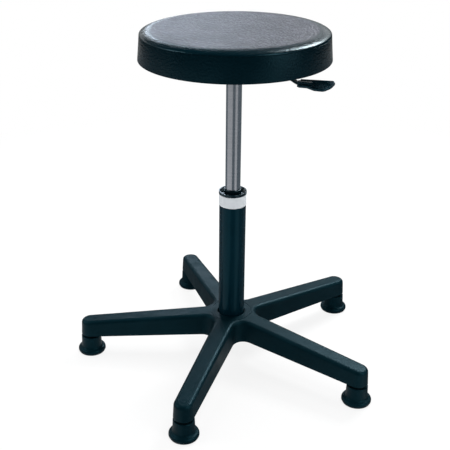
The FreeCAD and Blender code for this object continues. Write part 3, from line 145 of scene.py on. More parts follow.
world = bpy.data.worlds.new("white_paper")
bpy.context.scene.world = world
world.use_nodes = True
world_tree = world.node_tree
world_tree.nodes.clear()
world_output = world_tree.nodes.new("ShaderNodeOutputWorld")
world_mix = world_tree.nodes.new("ShaderNodeMixShader")
dim_light = world_tree.nodes.new("ShaderNodeBackground")
dim_light.inputs["Color"].default_value = DAYLIGHT
dim_light.inputs["Strength"].default_value = AMBIENT
white_view = world_tree.nodes.new("ShaderNodeBackground")
white_view.inputs["Color"].default_value = WHITE
world_tree.links.new(seen_directly(world_tree), world_mix.inputs[0])
world_tree.links.new(dim_light.outputs[0], world_mix.inputs[1])
world_tree.links.new(white_view.outputs[0], world_mix.inputs[2])
world_tree.links.new(world_mix.outputs[0], world_output.inputs["Surface"])
print("world light strength:", AMBIENT)

# %% [markdown]
# ## Floor
# The paper under the seat has to be white and still take a shadow.  Plain white diffuse goes grey
# at the edges, so the floor is mostly its own white.  Near the seat a small share of it is diffuse,
# which lets a faint shadow show, and the share fades out further away.  In reflections the floor is
# dimmer, as paper in the shade of the seat would be.

# %% Floor
FLOOR_SIZE = 12
PAPER = (0.92, 0.92, 0.92, 1)
FLOOR_DIFFUSE_SHARE = 0.15
SHADOW_REACH = 0.5
PURE_WHITE_FROM = 1.5
FLOOR_IN_REFLECTIONS = 0.45


def distance_from_middle(tree, point):
    """How far a point on the surface is from the middle of its coordinates."""
    node = tree.nodes.new("ShaderNodeVectorMath")
    node.operation = "LENGTH"
    tree.links.new(point, node.inputs[0])
    return node.outputs["Value"]


def ramp(tree, value, start, end, first=0, last=1):
    """A value that goes from first to last while another goes from start to end."""
    node = tree.nodes.new("ShaderNodeMapRange")
    node.inputs["From Min"].default_value = start
    node.inputs["From Max"].default_value = end
    node.inputs["To Min"].default_value = first
    node.inputs["To Max"].default_value = last
    tree.links.new(value, node.inputs["Value"])
    return node.outputs["Result"]


def multiply(tree, first, second):
    """The product of two values."""
    node = tree.nodes.new("ShaderNodeMath")
    node.operation = "MULTIPLY"
    tree.links.new(first, node.inputs[0])
    tree.links.new(second, node.inputs[1])
    return node.outputs[0]


def floor_material():
    """White paper that takes a faint shadow near the seat."""
    material = bpy.data.materials.new("white_floor")
    material.use_nodes = True
    tree = material.node_tree
    tree.nodes.clear()
    output = tree.nodes.new("ShaderNodeOutputMaterial")
    paper = tree.nodes.new("ShaderNodeBsdfDiffuse")
    paper.inputs["Color"].default_value = PAPER
    glow = tree.nodes.new("ShaderNodeEmission")
    glow.inputs["Color"].default_value = WHITE
    path = tree.nodes.new("ShaderNodeLightPath")
    strength = ramp(tree, path.outputs["Is Glossy Ray"], 0, 1, first=1, last=FLOOR_IN_REFLECTIONS)
    tree.links.new(strength, glow.inputs["Strength"])
    place = tree.nodes.new("ShaderNodeTexCoord")
    reach = distance_from_middle(tree, place.outputs["Object"])
    whiteness = ramp(tree, reach, SHADOW_REACH, PURE_WHITE_FROM, first=1 - FLOOR_DIFFUSE_SHARE)
    mix = tree.nodes.new("ShaderNodeMixShader")
    tree.links.new(multiply(tree, seen_directly(tree), whiteness), mix.inputs[0])
    tree.links.new(paper.outputs[0], mix.inputs[1])
    tree.links.new(glow.outputs[0], mix.inputs[2])
    tree.links.new(mix.outputs[0], output.inputs["Surface"])
    return material


bpy.ops.object.select_all(action="DESELECT")
bpy.ops.mesh.primitive_plane_add(size=FLOOR_SIZE, location=(0, 0, 0))
floor = bpy.context.object
floor.name = "floor"
floor.data.materials.append(floor_material())
print("floor:", FLOOR_SIZE, "m wide")

# %% [markdown]
# ## Lamps
# Black gloss shows its lamps rather than its own colour, so a product photographer lights it with a
# few soft boxes of a chosen size.  A broad one overhead gives the plain light and stays out of
# reflections.  The others give the edges their highlights, and the low ones behind the seat glare
# along its top, which the camera sees almost edge on.

# %% Lamps
NEUTRAL = (1, 1, 1)
COOL = (0.76, 0.86, 1)
COLUMN_MIDDLE = 0.35


def add_softbox(
        name, azimuth, elevation, distance, width, height, watts, aim_height=COLUMN_MIDDLE,
        colour=NEUTRAL, reflected=True):
    """A rectangular soft light aimed at a point of the object's axis."""
    aim = Vector((0, 0, aim_height))
    climb = math.radians(elevation)
    place = aim + on_circle(math.cos(climb) * distance, math.radians(azimuth), distance * math.sin(climb))
    data = bpy.data.lights.new(name, "AREA")
    data.shape = "RECTANGLE"
    data.size = width
    data.size_y = height
    data.energy = watts
    data.color = colour
    lamp = bpy.data.objects.new(name, data)
    lamp.location = place
    lamp.rotation_euler = (aim - place).to_track_quat("-Z", "Y").to_euler()
    lamp.visible_glossy = reflected
    bpy.context.scene.collection.objects.link(lamp)


# name, azimuth and elevation in degrees, distance, width, height, watts
add_softbox("overhead_box", 120, 72, 2.4, 1.6, 1.6, 46, reflected=False)
add_softbox("left_box", 205, 35, 2.4, 0.7, 1.6, 14)
add_softbox("right_box", 335, 38, 2.4, 0.5, 1.4, 12)
add_softbox("back_right_box", 70, 38, 2.4, 0.75, 0.7, 50, aim_height=PAD_TOP)
add_softbox("back_left_box", 114, 14, 2.6, 0.6, 0.3, 5.8, aim_height=PAD_TOP, colour=COOL)
add_softbox("back_box", 106, 13, 2.65, 1.6, 0.4, 0.7, aim_height=PAD_TOP, colour=COOL)

# %% [markdown]
# ## Cards
# The rest of the room is hidden from the gloss by dark cards, or the seat and the tube would mirror
# a white room and look grey.  The cards are seen by reflections only, so the light on the object
# stays as it is.  Behind the seat the low and the high card leave a gap, and the pale band in it
# turns the top of the seat grey.  Cards that lie on the floor are a dark grey.  They give the bright
# cylinder its dark edges and the streak down its middle, and keep the arms and glides black.

# %% Cards
CARD_DISTANCE = 2.8
CARD_FOOT = 0.05
CARD_ROOF = 2.4
CARD_STEPS = 24
CARD_BLACK = (0.003, 0.004, 0.005, 1)
CARD_GLOW = (0.78, 0.92, 1, 1)
FLAT_CARD_REACH = 2.6
ROOF_CARD_HOLE = 0.01
FLOOR_CARD_HOLE = 0.05
FLOOR_CARD_GREY = 0.16
FLOOR_CARD_HEIGHT = 2 * MILLIMETRE


def card_material(name, glow):
    """A nearly black finish that can give off some grey of its own."""
    material = bpy.data.materials.new(name)
    material.use_nodes = True
    shader = material.node_tree.nodes["Principled BSDF"]
    shader.inputs["Base Color"].default_value = CARD_BLACK
    shader.inputs["Specular IOR Level"].default_value = 0
    shader.inputs["Emission Color"].default_value = CARD_GLOW
    shader.inputs["Emission Strength"].default_value = glow
    return material


def add_card(name, rows, glow=0):
    """A dark surface between two rows of points, seen by reflections only."""
    across = len(rows[0])
    corners = [point for row in rows for point in row]
    faces = [(n, n + 1, across + n + 1, across + n) for n in range(across - 1)]
    mesh = bpy.data.meshes.new(name)
    mesh.from_pydata(corners, [], faces)
    mesh.materials.append(card_material(name, glow))
    card = bpy.data.objects.new(name, mesh)
    bpy.context.scene.collection.objects.link(card)
    card.visible_camera = False
    card.visible_diffuse = False
    card.visible_shadow = False


def arc_row(start, end, radius, height):
    """Points along an arc round the column, its angles in degrees."""
    share = (end - start) / CARD_STEPS
    return [on_circle(radius, math.radians(start + share * step), height) for step in range(CARD_STEPS + 1)]


def add_standing_card(name, start, end, low, high):
    """An upright card along an arc, between two heights."""
    add_card(name, [arc_row(start, end, CARD_DISTANCE, low), arc_row(start, end, CARD_DISTANCE, high)])


def add_flat_card(name, start, end, hole, height, glow=0):
    """A level card round the column, from a small hole outwards."""
    add_card(name, [arc_row(start, end, radius, height) for radius in (hole, FLAT_CARD_REACH)], glow)


# name, first and last azimuth in degrees, lowest and highest point
add_standing_card("card_behind_camera", 215, 325, CARD_FOOT, 3.2)
add_standing_card("card_back_right", 0, 80, CARD_FOOT, 2.2)
add_standing_card("card_back_low", 80, 215, CARD_FOOT, 0.86)
add_standing_card("card_back_high", 80, 215, 1.54, CARD_ROOF)

# name, first and last azimuth in degrees, radius of the hole, height, and how grey it is
add_flat_card("card_overhead", 0, 360, ROOF_CARD_HOLE, CARD_ROOF)
add_flat_card("floor_card_front", 271, 310, FLOOR_CARD_HOLE, FLOOR_CARD_HEIGHT, FLOOR_CARD_GREY)
add_flat_card("floor_card_back", 345, 547, FLOOR_CARD_HOLE, FLOOR_CARD_HEIGHT, FLOOR_CARD_GREY)

# %% [markdown]
# ## Shared effects
# Three effects come back in many finishes.  A moulded or painted surface has a fine grain that
# catches the light, handling leaves it duller in some places than in others, and its edges are
# painted paler, partly for wear and partly as a painted sheen where they catch the light.  Each
# effect is a node group with named inputs, so that each material places it with its own scale and
# nothing is built twice.

# %% Node group: fine grain
FLOAT = "NodeSocketFloat"
VECTOR = "NodeSocketVector"
CELL_SMOOTHNESS = 0.6
SPECK_DETAIL = 3


def new_group(name, inputs, outputs):
    """An empty node group with float or vector sockets."""
    group = bpy.data.node_groups.new(name, "ShaderNodeTree")
    for socket, kind in inputs:
        group.interface.new_socket(name=socket, in_out="INPUT", socket_type=kind)
    for socket, kind in outputs:
        group.interface.new_socket(name=socket, in_out="OUTPUT", socket_type=kind)
    start = group.nodes.new("NodeGroupInput")
    end = group.nodes.new("NodeGroupOutput")
    return group, start, end


grain_group, grain_in, grain_out = new_group(
    "fine_grain", [("Vector", VECTOR), ("Scale", FLOAT), ("Sharpness", FLOAT)],
    [("Height", FLOAT), ("Shade", FLOAT)])
cells = grain_group.nodes.new("ShaderNodeTexVoronoi")
cells.feature = "SMOOTH_F1"
cells.inputs["Smoothness"].default_value = CELL_SMOOTHNESS
specks = grain_group.nodes.new("ShaderNodeTexNoise")
specks.inputs["Detail"].default_value = SPECK_DETAIL
both = grain_group.nodes.new("ShaderNodeMix")
cell_shade = grain_group.nodes.new("ShaderNodeSeparateColor")
for pattern in (cells, specks):
    grain_group.links.new(grain_in.outputs["Vector"], pattern.inputs["Vector"])
    grain_group.links.new(grain_in.outputs["Scale"], pattern.inputs["Scale"])
grain_group.links.new(grain_in.outputs["Sharpness"], both.inputs[0])
grain_group.links.new(specks.outputs["Fac"], both.inputs[2])
grain_group.links.new(cells.outputs["Distance"], both.inputs[3])
grain_group.links.new(both.outputs[0], grain_out.inputs["Height"])
grain_group.links.new(cells.outputs["Color"], cell_shade.inputs[0])
grain_group.links.new(cell_shade.outputs[0], grain_out.inputs["Shade"])
print("made group", grain_group.name)

# %% Node group: handling marks
MARK_DETAIL = 5
MARK_ROUGHNESS = 0.6
USUAL_NOISE = (0.3, 0.7)

marks_group, marks_in, marks_out = new_group(
    "handling_marks", [("Vector", VECTOR), ("Scale", FLOAT), ("Low", FLOAT), ("High", FLOAT)],
    [("Value", FLOAT)])
clouds = marks_group.nodes.new("ShaderNodeTexNoise")
clouds.inputs["Detail"].default_value = MARK_DETAIL
clouds.inputs["Roughness"].default_value = MARK_ROUGHNESS
spread = marks_group.nodes.new("ShaderNodeMapRange")
spread.inputs["From Min"].default_value, spread.inputs["From Max"].default_value = USUAL_NOISE
marks_group.links.new(marks_in.outputs["Vector"], clouds.inputs["Vector"])
marks_group.links.new(marks_in.outputs["Scale"], clouds.inputs["Scale"])
marks_group.links.new(clouds.outputs["Fac"], spread.inputs["Value"])
marks_group.links.new(marks_in.outputs["Low"], spread.inputs["To Min"])
marks_group.links.new(marks_in.outputs["High"], spread.inputs["To Max"])
marks_group.links.new(spread.outputs["Result"], marks_out.inputs["Value"])
print("made group", marks_group.name)

# %% Node group: worn edges with a painted sheen
WEAR_AND_SHEEN_RADIUS = 1.2 * MILLIMETRE
BEVEL_SAMPLES = 4
EDGE_STARTS, EDGE_FULL = 0.995, 0.90
PATCH_SCALE = 90
PATCH_DETAIL = 4

# Paler edges: wear, and also a painted sheen that stands for the highlights along edges.
wear_and_sheen_group, wear_and_sheen_in, wear_and_sheen_out = new_group(
    "edge_wear_and_painted_sheen", [("Vector", VECTOR), ("Radius", FLOAT)], [("Mask", FLOAT)])
rounded = wear_and_sheen_group.nodes.new("ShaderNodeBevel")
rounded.samples = BEVEL_SAMPLES
surface = wear_and_sheen_group.nodes.new("ShaderNodeNewGeometry")
agreement = wear_and_sheen_group.nodes.new("ShaderNodeVectorMath")
agreement.operation = "DOT_PRODUCT"
patches = wear_and_sheen_group.nodes.new("ShaderNodeTexNoise")
patches.inputs["Scale"].default_value = PATCH_SCALE
patches.inputs["Detail"].default_value = PATCH_DETAIL
wear_and_sheen_group.links.new(wear_and_sheen_in.outputs["Radius"], rounded.inputs["Radius"])
wear_and_sheen_group.links.new(wear_and_sheen_in.outputs["Vector"], patches.inputs["Vector"])
wear_and_sheen_group.links.new(rounded.outputs["Normal"], agreement.inputs[0])
wear_and_sheen_group.links.new(surface.outputs["Normal"], agreement.inputs[1])
edge = ramp(wear_and_sheen_group, agreement.outputs["Value"], EDGE_STARTS, EDGE_FULL)
wear_and_sheen_group.links.new(multiply(wear_and_sheen_group, edge, patches.outputs["Fac"]), wear_and_sheen_out.inputs["Mask"])
print("made group", wear_and_sheen_group.name)

# %% [markdown]
# ## Helpers for the finishes
# Every finish needs the same few things: a base colour that drifts and wears, with a painted sheen
# on its edges, a gloss that handling has changed, and a relief.  Small helpers make them, so that a
# finish below is a short list of its own values.  The patterns follow the object's own coordinates,
# which keeps their size in metres and needs no unwrapping.

# %% Helpers for the finishes
WEAR_AND_SHEEN_GAIN = 1.6
WEAR_AND_SHEEN_LIFT = 0.004


def new_material(name):
    """A material with a Principled shader and the piece's own coordinates."""
    material = bpy.data.materials.new(name)
    material.use_nodes = True
    tree = material.node_tree
    tree.nodes.clear()
    output = tree.nodes.new("ShaderNodeOutputMaterial")
    shader = tree.nodes.new("ShaderNodeBsdfPrincipled")
    place = tree.nodes.new("ShaderNodeTexCoord")
    tree.links.new(shader.outputs[0], output.inputs["Surface"])
    print("finish:", name)
    return material, tree, shader, place.outputs["Object"]


def stretched(tree, vector, stretch):
    """The coordinates scaled along X, Y and Z."""
    mapping = tree.nodes.new("ShaderNodeMapping")
    mapping.inputs["Scale"].default_value = stretch
    tree.links.new(vector, mapping.inputs["Vector"])
    return mapping.outputs["Vector"]


def placed_group(tree, group, vector, **values):
    """A node group in a material, with its own values."""
    node = tree.nodes.new("ShaderNodeGroup")
    node.node_tree = group
    for name, value in values.items():
        node.inputs[name].default_value = value
    tree.links.new(vector, node.inputs["Vector"])
    return node


def handling_marks(tree, vector, scale, low, high):
    """A value that drifts between two ends over the surface."""
    return placed_group(tree, marks_group, vector, Scale=scale, Low=low, High=high).outputs["Value"]


def mix_colours(tree, factor, first, second):
    """A node that mixes two colours, by a factor that changes over the surface."""
    node = tree.nodes.new("ShaderNodeMix")
    node.data_type = "RGBA"
    node.inputs[6].default_value = (*first, 1)
    node.inputs[7].default_value = (*second, 1)
    tree.links.new(factor, node.inputs[0])
    return node


def body_colour(tree, shader, vector, scale, dark, light):
    """A base colour that drifts between two tones, with edges painted paler for wear and for sheen."""
    tone = mix_colours(tree, handling_marks(tree, vector, scale, low=0, high=1), dark, light)
    wear_and_sheen_edges = placed_group(tree, wear_and_sheen_group, vector, Radius=WEAR_AND_SHEEN_RADIUS)
    # The paler edge colour is wear and also a painted sheen, standing for light caught along edges.
    paler = [min(1, WEAR_AND_SHEEN_GAIN * value + WEAR_AND_SHEEN_LIFT) for value in light]
    wear_and_sheen = mix_colours(tree, wear_and_sheen_edges.outputs["Mask"], light, paler)
    tree.links.new(tone.outputs[2], wear_and_sheen.inputs[6])
    tree.links.new(wear_and_sheen.outputs[2], shader.inputs["Base Color"])


def handled_gloss(tree, shader, vector, scale, low, high):
    """A roughness that handling has changed from place to place."""
    tree.links.new(handling_marks(tree, vector, scale, low, high), shader.inputs["Roughness"])


def tinted_gloss(shader, level, tint):
    """How strongly the surface reflects, and in which tint."""
    shader.inputs["Specular IOR Level"].default_value = level
    shader.inputs["Specular Tint"].default_value = (*tint, 1)


def bump(tree, shader, height, strength, depth):
    """A bump that follows a height, its depth in millimetres."""
    node = tree.nodes.new("ShaderNodeBump")
    node.inputs["Strength"].default_value = strength
    node.inputs["Distance"].default_value = depth * MILLIMETRE
    tree.links.new(height, node.inputs["Height"])
    tree.links.new(node.outputs["Normal"], shader.inputs["Normal"])


def relief(tree, shader, vector, scale, sharpness, strength, depth):
    """A fine grain as a bump, its depth in millimetres."""
    grain = placed_group(tree, grain_group, vector, Scale=scale, Sharpness=sharpness)
    bump(tree, shader, grain.outputs["Height"], strength, depth)


# %% [markdown]
# ## Moulded nylon
# The base and its glides are glass-filled nylon.  Its surface is satin, faintly pitted, and a
# little paler where it has been scuffed; its paler edges are also a painted sheen.  A plain dark
# plastic would look like a toy, so the grain and the marks are both there, at the size of real
# moulding grain.

# %% Moulded nylon
def moulded_nylon():
    material, tree, shader, place = new_material("moulded_nylon")
    body_colour(tree, shader, place, scale=14, dark=(0.0004, 0.0080, 0.0122), light=(0.0010, 0.0126, 0.0186))
    handled_gloss(tree, shader, place, scale=30, low=0.38, high=0.52)
    tinted_gloss(shader, level=0.21, tint=(0.22, 0.76, 1.0))
    relief(tree, shader, place, scale=900, sharpness=0.35, strength=0.25, depth=0.3)
    return material


finishes = {"moulded_nylon": moulded_nylon()}

# %% [markdown]
# ## Paints and plastics
# The tube's powder coat is glossy with a faint orange peel, the collar and bush are satin plastic,
# the paddle is polished, and the plate and lever bar are a duller coat.  All could share one black,
# but they differ in gloss more than in colour, and the gloss is what tells them apart.

# %% Paints
def gloss_black_paint():
    material, tree, shader, place = new_material("gloss_black_paint")
    body_colour(tree, shader, place, scale=10, dark=(0.0004, 0.0108, 0.0182), light=(0.0009, 0.0146, 0.0236))
    handled_gloss(tree, shader, place, scale=25, low=0.14, high=0.22)
    tinted_gloss(shader, level=0.30, tint=(0.24, 0.78, 1.0))
    relief(tree, shader, place, scale=260, sharpness=0.1, strength=0.05, depth=0.3)
    return material


def black_steel():
    material, tree, shader, place = new_material("black_steel")
    body_colour(tree, shader, place, scale=20, dark=(0.0008, 0.0070, 0.0105), light=(0.0016, 0.0115, 0.0165))
    handled_gloss(tree, shader, place, scale=50, low=0.35, high=0.5)
    tinted_gloss(shader, level=0.25, tint=(0.5, 0.85, 1.0))
    relief(tree, shader, place, scale=800, sharpness=0.2, strength=0.2, depth=0.3)
    return material


finishes["gloss_black_paint"] = gloss_black_paint()
finishes["black_steel"] = black_steel()

# %% Plastics
def black_plastic():
    material, tree, shader, place = new_material("black_plastic")
    body_colour(tree, shader, place, scale=40, dark=(0.0005, 0.0060, 0.0090), light=(0.0012, 0.0095, 0.0140))
    handled_gloss(tree, shader, place, scale=60, low=0.18, high=0.28)
    tinted_gloss(shader, level=0.6, tint=(0.55, 0.85, 1.0))
    relief(tree, shader, place, scale=1500, sharpness=0.3, strength=0.12, depth=0.2)
    return material


def gloss_black_plastic():
    material, tree, shader, place = new_material("gloss_black_plastic")
    body_colour(tree, shader, place, scale=30, dark=(0.0006, 0.0110, 0.0180), light=(0.0014, 0.0170, 0.0270))
    handled_gloss(tree, shader, place, scale=70, low=0.20, high=0.32)
    tinted_gloss(shader, level=0.5, tint=(0.40, 0.80, 1.0))
    relief(tree, shader, place, scale=300, sharpness=0.1, strength=0.03, depth=0.2)
    return material


finishes["black_plastic"] = black_plastic()
finishes["gloss_black_plastic"] = gloss_black_plastic()

# %% [markdown]
# ## Steels
# The cylinder is ground on centres, which leaves very fine marks round it.  Anisotropic gloss could
# hint at them, but a noise squeezed along Z draws them: it changes quickly up the cylinder and
# slowly round it.  The small steel pieces are zinc plated and need no such direction.

# %% Steels
RING_STRETCH = (1, 1, 60)


def ground_steel():
    material, tree, shader, place = new_material("ground_steel")
    rings = stretched(tree, place, RING_STRETCH)
    body_colour(tree, shader, rings, scale=30, dark=(0.47, 0.50, 0.55), light=(0.62, 0.645, 0.70))
    handled_gloss(tree, shader, place, scale=18, low=0.16, high=0.24)
    shader.inputs["Metallic"].default_value = 1
    relief(tree, shader, rings, scale=60, sharpness=0, strength=0.12, depth=0.1)
    return material


def plated_steel():
    material, tree, shader, place = new_material("plated_steel")
    body_colour(tree, shader, place, scale=120, dark=(0.48, 0.48, 0.46), light=(0.62, 0.61, 0.58))
    handled_gloss(tree, shader, place, scale=90, low=0.25, high=0.45)
    shader.inputs["Metallic"].default_value = 1
    relief(tree, shader, place, scale=1200, sharpness=0.3, strength=0.15, depth=0.1)
    return material


finishes["ground_steel"] = ground_steel()
finishes["plated_steel"] = plated_steel()

# %% [markdown]
# ## Small finishes
# The label is plain film with a soft sheen, the seals are matt rubber, and the board is birch
# plywood, stained black.  A wood texture with rings would be too bold on a board seen from below,
# so its grain is a noise stretched along one direction.

# %% Small finishes
PLY_STRETCH = (3, 60, 20)


def label_film():
    material, tree, shader, place = new_material("label_film")
    body_colour(tree, shader, place, scale=60, dark=(0.72, 0.755, 0.785), light=(0.82, 0.855, 0.885))
    handled_gloss(tree, shader, place, scale=120, low=0.3, high=0.45)
    relief(tree, shader, place, scale=1800, sharpness=0, strength=0.05, depth=0.1)
    return material


def seal_rubber():
    material, tree, shader, place = new_material("seal_rubber")
    body_colour(tree, shader, place, scale=80, dark=(0.010, 0.010, 0.011), light=(0.024, 0.024, 0.025))
    handled_gloss(tree, shader, place, scale=60, low=0.6, high=0.8)
    relief(tree, shader, place, scale=1500, sharpness=0.2, strength=0.2, depth=0.2)
    return material


def plywood():
    material, tree, shader, place = new_material("plywood")
    grain = stretched(tree, place, PLY_STRETCH)
    body_colour(tree, shader, grain, scale=1.5, dark=(0.020, 0.018, 0.017), light=(0.045, 0.042, 0.040))
    handled_gloss(tree, shader, grain, scale=3, low=0.5, high=0.7)
    relief(tree, shader, grain, scale=8, sharpness=0, strength=0.3, depth=0.4)
    return material


finishes["label_film"] = label_film()
finishes["seal_rubber"] = seal_rubber()
finishes["plywood"] = plywood()

# %% [markdown]
# ## Grained upholstery
# The seat is one black skin of moulded foam, embossed with a pebble grain.  Its top takes the glare
# of the pale band behind it and reads as a lavender grey, while the shoulder and side are smoother
# and glossier and stay nearly black.  The panel's base colour is painted paler too, a lavender grey
# in specks: a painted sheen that stands for the glints of the pebbles.  How strongly a finish
# reflects is one number all over it, so there are two finishes.  The glossy one turns duller towards
# the panel, which softens the border between them.

# %% Upholstery of the panel
PEBBLE_SCALE = 330
PEBBLE_SHARPNESS = 0.75


def grained_upholstery():
    material, tree, shader, place = new_material("grained_upholstery")
    pebbles = placed_group(tree, grain_group, place, Scale=PEBBLE_SCALE, Sharpness=PEBBLE_SHARPNESS)
    # Painted sheen: squared cell shades give lavender-grey specks in the base colour that stand for the
    # glints of the pebbles.
    glint_specks = multiply(tree, pebbles.outputs["Shade"], pebbles.outputs["Shade"])
    wear_and_sheen = multiply(tree, glint_specks, handling_marks(tree, place, scale=9, low=0.75, high=1.0))
    tone = mix_colours(tree, wear_and_sheen, first=(0.006, 0.009, 0.015), second=(0.060, 0.064, 0.086))
    tree.links.new(tone.outputs[2], shader.inputs["Base Color"])
    handled_gloss(tree, shader, place, scale=16, low=0.34, high=0.44)
    tinted_gloss(shader, level=0.62, tint=(0.74, 0.82, 1.0))
    height = tree.nodes.new("ShaderNodeMath")
    height.operation = "ADD"
    tree.links.new(pebbles.outputs["Height"], height.inputs[0])
    tree.links.new(pebbles.outputs["Shade"], height.inputs[1])
    bump(tree, shader, height.outputs[0], strength=1.0, depth=1.3)
    return material


finishes["grained_upholstery"] = grained_upholstery()

# %% Upholstery of the shoulder and side
SHOULDER_RADIUS = PAD_RADIUS - 18.8 * MILLIMETRE
FINISH_RADIUS = PAD_RADIUS - 24.2 * MILLIMETRE
GLOSSY_FROM = SHOULDER_RADIUS + 2 * MILLIMETRE
DULL_BORDER = 0.37
GLOSSY_SIDE = 0.24
FLATTENED = (1, 1, 0)


def duller_near_panel(tree, place):
    """A roughness that falls from the panel's edge to the shoulder, so that the finishes blend."""
    from_axis = distance_from_middle(tree, stretched(tree, place, FLATTENED))
    return ramp(tree, from_axis, FINISH_RADIUS, GLOSSY_FROM, first=DULL_BORDER, last=GLOSSY_SIDE)


def glossy_upholstery():
    material, tree, shader, place = new_material("glossy_upholstery")
    body_colour(tree, shader, place, scale=12, dark=(0.0003, 0.0066, 0.0105), light=(0.0007, 0.0094, 0.0145))
    marks = handling_marks(tree, place, scale=16, low=0.9, high=1.1)
    tree.links.new(multiply(tree, duller_near_panel(tree, place), marks), shader.inputs["Roughness"])
    tinted_gloss(shader, level=0.28, tint=(0.32, 0.80, 1.0))
    relief(tree, shader, place, PEBBLE_SCALE, PEBBLE_SHARPNESS, strength=0.6, depth=0.7)
    return material


# %% [markdown]
# ## Finishes on the CAD pieces
# Each rigid piece has one finish all over.  The record already names it for each node, so one loop
# dresses them all.  A second list here would only repeat the record, and could come to differ.

# %% Dress the nodes
for entry in frame["record"]["subparts"]:
    node = nodes[entry["node"]]
    node.data.materials.clear()
    node.data.materials.append(finishes[entry["material_slot"]])

# %% [markdown]
# ## Seat pad
# The real pad is one firm piece of moulded foam over a board.  Its side draws in towards the top,
# with a fine mould line just under a rounded shoulder, and a gentle slope leads up to a panel that
# is flat but for a slight crown.  It could be a curve turned about the axis.  Here it starts as a
# cylinder instead, because each part of it is then one plain step in edit mode.

# %% Select in edit mode by place
LEVEL_TOLERANCE = 0.01 * MILLIMETRE
FACES_STRAIGHT = 0.99
MANY_CORNERS = 8


def select_only(test, kind="VERT"):
    """In edit mode, select the vertices, edges or faces that a test picks."""
    bpy.ops.mesh.select_mode(type=kind)
    bpy.ops.mesh.select_all(action="DESELECT")
    mesh = bmesh.from_edit_mesh(bpy.context.object.data)
    items = {"VERT": mesh.verts, "EDGE": mesh.edges, "FACE": mesh.faces}[kind]
    for item in items:
        if test(item):
            item.select_set(True)
    mesh.select_flush_mode()
    bmesh.update_edit_mesh(bpy.context.object.data)


def point_at(height):
    """A test for vertices at a height."""
    return lambda vertex: abs(vertex.co.z - height) < LEVEL_TOLERANCE


def edge_at(height):
    """A test for edges that lie at a height."""
    return lambda edge: all(point_at(height)(vertex) for vertex in edge.verts)


def end_face(direction):
    """A test for the one many-cornered face that looks up (1) or down (-1)."""
    return lambda face: face.normal.z * direction > FACES_STRAIGHT and len(face.verts) > MANY_CORNERS


print("an edge counts as level within", LEVEL_TOLERANCE, "m")

# %% [markdown]
# The cylinder is as wide as the pad's foot and as high as the start of its shoulder.  Its top is
# scaled in, which leans the side, and a small bevel rounds the lower edge.

# %% Side and lower edge
PAD_SIDES = 160
SIDE_TOP_RADIUS = PAD_RADIUS - 3.8 * MILLIMETRE
SHOULDER_START = PAD_TOP - 7.4 * MILLIMETRE
LOWER_ROUND = 0.8 * MILLIMETRE
LOWER_ROUND_STEPS = 4

bpy.ops.object.select_all(action="DESELECT")
bpy.ops.mesh.primitive_cylinder_add(
    vertices=PAD_SIDES, radius=PAD_RADIUS, depth=SHOULDER_START - PAD_BOTTOM, end_fill_type="NGON",
    location=(0, 0, (SHOULDER_START + PAD_BOTTOM) / 2))
seat_cushion = bpy.context.object
seat_cushion.name = "seat_cushion"
bpy.ops.object.transform_apply(location=True, rotation=True, scale=True)
bpy.ops.object.mode_set(mode="EDIT")
select_only(point_at(SHOULDER_START))
side_lean = SIDE_TOP_RADIUS / PAD_RADIUS
bpy.ops.transform.resize(value=(side_lean, side_lean, 1), center_override=(0, 0, 0))
select_only(edge_at(PAD_BOTTOM), "EDGE")
bpy.ops.mesh.bevel(offset=LOWER_ROUND, offset_type="OFFSET", segments=LOWER_ROUND_STEPS, affect="EDGES")
print("side leans in by", round(PAD_RADIUS - SIDE_TOP_RADIUS, 4), "m")

# %% [markdown]
# The shoulder is part of an ellipse.  Insetting the top face by a step and lifting it, ring after
# ring, follows that curve, and two more rings make the slope that ends at the panel.

# %% Shoulder
PANEL_RADIUS = PAD_RADIUS - 26.5 * MILLIMETRE
SHOULDER_TURN = math.radians(62)
SHOULDER_RINGS = 10
PANEL_RAISED = 0.9 * MILLIMETRE
CROWN = 0.1 * MILLIMETRE


def step_in(outer, inner, rise):
    """Inset the selected top face from one radius to another and lift it."""
    bpy.ops.mesh.inset(thickness=(outer - inner) * math.cos(math.pi / PAD_SIDES), depth=0)
    bpy.ops.transform.translate(value=(0, 0, rise))


select_only(end_face(1), "FACE")
half_width = (SIDE_TOP_RADIUS - SHOULDER_RADIUS) / (1 - math.cos(SHOULDER_TURN))
half_height = (PAD_TOP - CROWN - PANEL_RAISED - SHOULDER_START) / math.sin(SHOULDER_TURN)
turns = [SHOULDER_TURN * ring / SHOULDER_RINGS for ring in range(SHOULDER_RINGS + 1)]
for before, after in zip(turns, turns[1:]):
    step_in(
        SIDE_TOP_RADIUS - half_width * (1 - math.cos(before)),
        SIDE_TOP_RADIUS - half_width * (1 - math.cos(after)),
        half_height * (math.sin(after) - math.sin(before)))
slope = PANEL_RAISED / (SHOULDER_RADIUS - PANEL_RADIUS)
for outer, inner in ((SHOULDER_RADIUS, FINISH_RADIUS), (FINISH_RADIUS, PANEL_RADIUS)):
    step_in(outer, inner, slope * (outer - inner))
print("shoulder rings:", SHOULDER_RINGS)

# %% [markdown]
# The panel isn't quite flat: it rises by a tenth of a millimetre to its middle.  Its rings are wide
# at the middle and narrow at the edge, as on a dome seen from above, and the last one closes in a
# fan of triangles.

# %% Crown
CROWN_RINGS = 12

turns = [math.pi / 2 * ring / CROWN_RINGS for ring in range(CROWN_RINGS)]
for before, after in zip(turns, turns[1:]):
    outer = PANEL_RADIUS * math.cos(before)
    inner = PANEL_RADIUS * math.cos(after)
    step_in(outer, inner, CROWN * ((outer / PANEL_RADIUS) ** 2 - (inner / PANEL_RADIUS) ** 2))
bpy.ops.mesh.poke()
print("crown rings:", CROWN_RINGS)

# %% [markdown]
# Under the pad, the foam has a recess for the board.  It is the lower face, inset to a little more
# than the board's radius and pushed up to the board's top.

